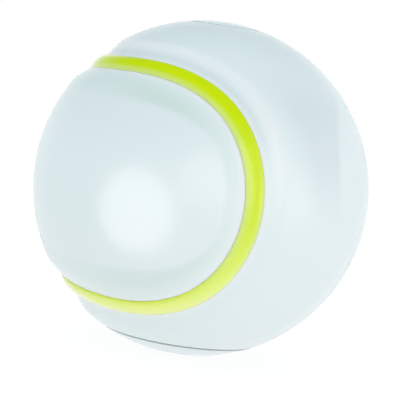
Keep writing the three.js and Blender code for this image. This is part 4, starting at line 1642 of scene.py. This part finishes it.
@dataclass(frozen=True)
class Elastomer(Finish):
    """Soft moulded rubber with a smooth skin that lets light in a little."""

    depth: float = 1.0 * MM
    skin: float = 0.6
    milk: float = 0.2

    def coat(self, sketch: SurfaceSketch) -> None:
        """Let light in a little."""
        sketch.set(
            IOR=1.5, Specular_IOR_Level=0.5, Coat_Weight=self.skin, Coat_Roughness=0.1,
            Subsurface_Weight=self.milk, Subsurface_Radius=(1.0, 1.0, 0.3), Subsurface_Scale=self.depth,
        )


@dataclass(frozen=True)
class BeadElastomer(Elastomer):
    """The bead's rubber, with painted light on its underside and painted highlights along its edges."""

    # Painted light on the underside, where light from below falls.
    underside_light_tone: str = "#eefb9c"
    underside_light_range: Pair = (0.45, 0.95)
    # Painted highlights along the bead's edges.
    rim: str = "#d3e88a"
    edge_highlight_strength: float = 0.75
    side_edge: Pair = (0.06, 0.4)
    side_heights: Pair = (-24.0 * MM, -8.0 * MM)
    port_edge: Pair = (0.66, 0.97)
    port_heights: Pair = (-2.0 * MM, 16.0 * MM)

    def colouring(self, sketch: SurfaceSketch) -> Socket:
        """The clouded colour with painted highlights along the edges, high on the side panel's side and low on
        the port panel's side, and painted light underneath.

        Args:
            sketch: The material to draw in.

        Returns:
            The colour.
        """
        across = sketch.layer("bead_side")
        height = sketch.upright()
        # Painted highlights along the edges: high on the side panel's edge, low on the port panel's edge.
        high = sketch.span(height, self.side_heights, (0.0, self.edge_highlight_strength))
        low = sketch.span(height, self.port_heights, (self.edge_highlight_strength, 0.0))
        side_edge_highlight = sketch.times(sketch.span(across, self.side_edge, FALLING), high)
        port_edge_highlight = sketch.times(sketch.span(across, self.port_edge, RISING), low)
        edge_highlights = sketch.maths("MAXIMUM", side_edge_highlight, port_edge_highlight)
        highlighted_colour = sketch.mix(edge_highlights, super().colouring(sketch), linear(self.rim))
        # Painted light on the underside.
        under = sketch.span(sketch.layer("underside"), self.underside_light_range, RISING)
        return sketch.mix(under, highlighted_colour, linear(self.underside_light_tone))


@dataclass(frozen=True)
class ClearPlastic(Finish):
    """Clear moulded lens plastic."""

    def coat(self, sketch: SurfaceSketch) -> None:
        """Let light through."""
        sketch.set(Transmission_Weight=0.7, IOR=1.49)


FINISHES: dict[str, Finish] = {
    "milky_shell": MilkyPlastic(
        "milky shell plastic", "#e0ebed", "#e2edee", gloss=(0.25, 0.27), cloud_scale=14.0,
        grain_scale=1200.0, grain=0.0002 * MM,
    ),
    "lime_bead": BeadElastomer(
        "lime elastomer", "#cfe700", "#d2ea00", gloss=(0.14, 0.18), cloud_scale=60.0,
        grain_scale=1500.0, grain=0.0005 * MM, depth=1.2 * MM, skin=0.35, milk=0.6,
    ),
    "white_plastic": Finish("white moulding", "#e9ece9", "#f0f2f0", gloss=(0.42, 0.55)),
    "seal_rubber": Elastomer(
        "seal rubber", "#34373a", "#3d4043", gloss=(0.6, 0.75), cloud_scale=200.0, grain_scale=2200.0,
    ),
    "steel": Finish("plated steel", "#b4b8bc", "#c2c5c8", gloss=(0.24, 0.4), metal=1.0, cloud_scale=260.0),
    "weight_steel": Finish(
        "plated casting", "#8d9297", "#9ba0a4", gloss=(0.38, 0.55), metal=1.0, cloud_scale=140.0,
        grain_scale=900.0, grain=0.05 * MM,
    ),
    "bronze": Finish(
        "sintered bronze", "#b08d57", "#9c7a49", gloss=(0.4, 0.55), metal=1.0, cloud_scale=900.0,
        grain_scale=1500.0, grain=0.03 * MM,
    ),
    "acetal": Finish("acetal moulding", "#f2eee2", "#ebe7da", gloss=(0.32, 0.44)),
    "grey_plastic": Finish(
        "grey textured moulding", "#99a0a3", "#a3aaad", gloss=(0.45, 0.6), cloud_scale=200.0,
        grain_scale=1400.0, grain=0.04 * MM,
    ),
    "black_plastic": Finish("black moulding", "#1c1e20", "#26282b", gloss=(0.4, 0.55)),
    "board_green": Finish("solder mask", "#1f6b41", "#2b7d50", gloss=(0.3, 0.42), cloud_scale=500.0),
    "cell_foil": Finish(
        "pouch foil", "#c5cad0", "#d2d6da", gloss=(0.3, 0.5), metal=0.8, cloud_scale=90.0,
        grain_scale=260.0, grain=0.15 * MM,
    ),
    "clear_lens": ClearPlastic("clear lens", "#f4f8fb", "#fbfdff", gloss=(0.08, 0.16)),
    "lime_button": Finish("lime moulding", "#c0dd1c", "#cbe534", gloss=(0.4, 0.52)),
    "red_lead": Elastomer("red wire", "#bd2f2b", "#c93c36"),
    "black_lead": Elastomer("black wire", "#202224", "#2b2d30"),
}


@dataclass
class Dresser:
    """Gives nodes and new pieces their finishes, bodies and slots."""

    frame: dict
    materials: dict[str, bpy.types.Material]

    def slot_of(self, node: str) -> str:
        """The record's material slot of a node."""
        return next(p["material_slot"] for p in self.frame["record"]["subparts"] if p["node"] == node)

    def body_of(self, node: str) -> str:
        """The body that a node rides on."""
        return self.frame["nodes"][node]["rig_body"]

    def paint(self, piece: Piece, slot: str) -> None:
        """Put a slot's material on a piece."""
        piece.data.materials.clear()
        piece.data.materials.append(self.materials[slot])

    def dress_nodes(self) -> None:
        """Put the right material on every node of the frame."""
        for node, piece in self.frame["nodes"].items():
            self.paint(piece, self.slot_of(node))

    def stand_for(self, piece: Piece, node: str) -> None:
        """Let a new piece stand for a node: same body, same slot, and the node is hidden.

        Args:
            piece: The new piece.
            node: The node that it stands for.
        """
        slot, body = self.slot_of(node), self.body_of(node)
        shade(piece)
        self.paint(piece, slot)
        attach(piece, body)
        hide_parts(node)
        LOG.info("%s stands for %s on %s, %d faces", piece.name, node, body, len(piece.data.polygons))


@dataclass(frozen=True)
class Lamp:
    """A soft round or oval lamp. A glow of 1 is as bright as the white of the surroundings."""

    name: str
    width: float
    height: float
    glow: float
    tint: Triple
    lights_matt: bool = True

    def add(self, spot: Vector) -> None:
        """Put the lamp in place, facing the ball.

        Args:
            spot: Where its middle is.
        """
        data = bpy.data.lights.new(self.name, "AREA")
        data.shape = "ELLIPSE"
        data.size = self.width
        data.size_y = self.height
        data.color = self.tint
        data.energy = self.glow * math.pi * math.pi / 4 * self.width * self.height
        lamp = bpy.data.objects.new(self.name, data)
        lamp.matrix_world = Matrix.Translation(spot) @ spot.to_track_quat("Z", "Y").to_matrix().to_4x4()
        lamp.visible_camera = False
        lamp.visible_diffuse = self.lights_matt
        bpy.context.scene.collection.objects.link(lamp)


@dataclass
class Studio:
    """The photograph's view, the pale floor, the soft lamps and the surroundings."""

    floor_height: float
    azimuth: float = math.radians(26.85)
    elevation: float = math.radians(4.9)
    roll: float = math.radians(8.66)
    distance: float = 400.0 * MM
    lens: float = 150.2
    sensor: float = 36.0
    nearest_seen: float = 10.0 * MM
    image: float = 400.0
    centre: Pair = (200.9, 188.0)
    floor_span: float = 3.0
    table_white: float = 0.2
    table_glow: float = 0.84
    table_light: float = 0.88
    room_light: float = 0.75
    overhead_light: float = 1.19
    room_tint: Triple = (0.92, 1.0, 1.035)
    light_heights: Pair = (0.45, 0.95)
    overhead_seen: float = 0.0
    seen_heights: Pair = (0.15, 0.86)
    front_lamp: Lamp = Lamp("front_lamp", 560.0 * MM, 560.0 * MM, 1.08, (1.0, 0.79, 0.75))
    front_distance: float = 600.0 * MM
    front_offset: float = 0.18
    right_lamp: Lamp = Lamp("right_lamp", 120.0 * MM, 134.0 * MM, 0.8, (1.0, 0.84, 0.81))
    right_spot: Triple = (220.0 * MM, -8.0 * MM, 0.0)
    low_lamp: Lamp = Lamp("low_lamp", 52.0 * MM, 55.0 * MM, 2.0, (1.0, 0.89, 0.885), lights_matt=False)
    gleam: Pair = (-0.383, -0.14)
    gleam_reach: float = 35.0 * MM

    def axes(self) -> tuple[Vector, Vector, Vector]:
        """The camera's own directions.

        Returns:
            Its right, up and backward directions.
        """
        level = Vector((math.cos(self.azimuth), math.sin(self.azimuth), 0.0))
        flat = math.cos(self.elevation)
        back = Vector((
            math.sin(self.azimuth) * flat, -math.cos(self.azimuth) * flat, math.sin(self.elevation),
        ))
        upright = back.cross(level)
        right = level * math.cos(self.roll) + upright * math.sin(self.roll)
        return right, back.cross(right), back

    def add_camera(self) -> None:
        """The camera at the photograph's viewing angle."""
        right, up, back = self.axes()
        data = bpy.data.cameras.new("camera")
        data.lens = self.lens
        data.sensor_width = self.sensor
        data.shift_x = (self.image / 2 - self.centre[0]) / self.image
        data.shift_y = (self.centre[1] - self.image / 2) / self.image
        data.clip_start = self.nearest_seen
        camera = bpy.data.objects.new("camera", data)
        turn = Matrix((right, up, back)).transposed().to_4x4()
        camera.matrix_world = Matrix.Translation(back * self.distance) @ turn
        bpy.context.scene.collection.objects.link(camera)
        bpy.context.scene.camera = camera

    def seen_directly(self, sketch: NodeSketch) -> Socket:
        """Tell what is seen from what lights the ball.

        Args:
            sketch: The node tree to add to.

        Returns:
            One for rays of the camera, of reflections and of clear plastic, and zero for other light.
        """
        path = sketch.add("ShaderNodeLightPath")
        total = path.outputs["Is Camera Ray"]
        for name in ("Is Glossy Ray", "Is Transmission Ray"):
            total = sketch.maths("MAXIMUM", total, path.outputs[name])
        return total

    def table_material(self) -> bpy.types.Material:
        """A pale, glowing table that is clear from below.

        Returns:
            The material.
        """
        material = bpy.data.materials.new("light table")
        material.use_nodes = True
        sketch = NodeSketch(material.node_tree)
        sheet = sketch.add("ShaderNodeBsdfDiffuse")
        sheet.inputs["Color"].default_value = (self.table_white, self.table_white, self.table_white, 1.0)
        glow = sketch.add("ShaderNodeEmission")
        levels = (self.table_glow * self.table_light, self.table_glow)
        strength = sketch.span(self.seen_directly(sketch), RISING, levels)
        table = sketch.add("ShaderNodeAddShader")
        side = sketch.add("ShaderNodeNewGeometry")
        clear = sketch.add("ShaderNodeBsdfTransparent")
        choice = sketch.add("ShaderNodeMixShader")
        output = sketch.add("ShaderNodeOutputMaterial")
        for source, target in (
            (strength, glow.inputs["Strength"]),
            (sheet.outputs[0], table.inputs[0]),
            (glow.outputs[0], table.inputs[1]),
            (side.outputs["Backfacing"], choice.inputs[0]),
            (table.outputs[0], choice.inputs[1]),
            (clear.outputs[0], choice.inputs[2]),
            (choice.outputs[0], output.inputs["Surface"]),
        ):
            sketch.join(source, target)
        return material

    def add_floor(self) -> None:
        """The light table under the ball, which takes the ball's faint shadow."""
        shape = bmesh.new()
        place = Matrix.Translation((0.0, 0.0, self.floor_height))
        bmesh.ops.create_grid(shape, x_segments=1, y_segments=1, size=self.floor_span / 2, matrix=place)
        floor = finish_mesh("floor", shape)
        floor.data.materials.append(self.table_material())
        floor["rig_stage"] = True

    def add_world(self) -> None:
        """Surroundings that are white to the camera, and dimmer overhead where they are mirrored."""
        world = bpy.data.worlds.new("studio")
        bpy.context.scene.world = world
        world.use_nodes = True
        sketch = NodeSketch(world.node_tree)
        height = sketch.toward(sketch.add("ShaderNodeTexCoord").outputs["Generated"], self.axes()[1])
        seen = self.seen_directly(sketch)
        lit = sketch.span(height, self.light_heights, (self.room_light, self.overhead_light))
        mirrored = sketch.span(height, self.seen_heights, (1.0, self.overhead_seen))
        camera = sketch.add("ShaderNodeLightPath").outputs["Is Camera Ray"]
        strength = sketch.mix(seen, lit, sketch.maths("MAXIMUM", camera, mirrored), Blend.NUMBER)
        colour = sketch.mix(seen, (*self.room_tint, 1.0), (1.0, 1.0, 1.0, 1.0))
        around = sketch.add("ShaderNodeBackground")
        output = sketch.add("ShaderNodeOutputWorld")
        sketch.join(colour, around.inputs["Color"])
        sketch.join(strength, around.inputs["Strength"])
        sketch.join(around.outputs[0], output.inputs["Surface"])

    def add_lamps(self) -> None:
        """A large lamp beside the camera, one at the right and a small one low at the left."""
        right, up, back = self.axes()
        self.front_lamp.add((back + right * self.front_offset) * self.front_distance)
        self.right_lamp.add(Vector(self.right_spot))
        across, rise = self.gleam
        normal = right * across + up * rise + back * math.sqrt(1.0 - across * across - rise * rise)
        mirrored = normal * (2 * normal.dot(back)) - back
        self.low_lamp.add(normal * -self.floor_height + mirrored * self.gleam_reach)

    def build(self) -> None:
        """Make the whole studio."""
        self.add_camera()
        self.add_world()
        self.add_lamps()
        self.add_floor()


def build_pieces(dresser: Dresser) -> None:
    """Model the pieces that show and put them in place of their nodes.

    Args:
        dresser: Gives each piece its body, slot and material.
    """
    cover_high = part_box("port_cover")[1]
    plug_low, plug_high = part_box("pole_plug")
    ring_low, ring_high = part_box("port_ring")
    axle_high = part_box("drive_axle")[1]
    washer_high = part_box("thrust_washer")[1]
    ball = plug_high.z
    shell = Shell(Seam(ball), ball)
    pole = TopPole(
        ball, shell.wall, plug=plug_high.x, plug_low=plug_low.z, axle=axle_high.y,
        boss_low=washer_high.z + shell.split, axle_high=axle_high.z,
    )
    port = PortEnd(
        ball, shell.wall, cover=cover_high.x, neck_high=cover_high.z, ring_flange=ring_high.x,
        ring_high=ring_high.z, ring_foot=ring_low.z,
    )
    end_panel = EndPanel(
        plate=Room.of("end_plate"), button=Room.of("power_button"), lens=Room.of("status_lens"),
        socket=Room.of("socket_shell"), screws=(Room.of("end_plate_screw_1"), Room.of("end_plate_screw_2")),
        gasket=Room.of("cover_gasket"),
    )
    shell.build(dresser, pole, port)
    port.build(dresser)
    pole.build(dresser)
    end_panel.build(dresser)


def main() -> None:
    """Load the frame, model and dress the pieces, and set the studio."""
    logging.basicConfig(level=logging.INFO, format="%(name)s: %(message)s")
    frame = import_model()
    cad_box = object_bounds()
    bpy.context.scene.view_settings.view_transform = "Standard"
    materials = {slot: finish.build() for slot, finish in FINISHES.items()}
    dresser = Dresser(frame, materials)
    dresser.dress_nodes()
    build_pieces(dresser)
    Studio(floor_height=cad_box[0].z).build()


if __name__ == "__main__":
    main()
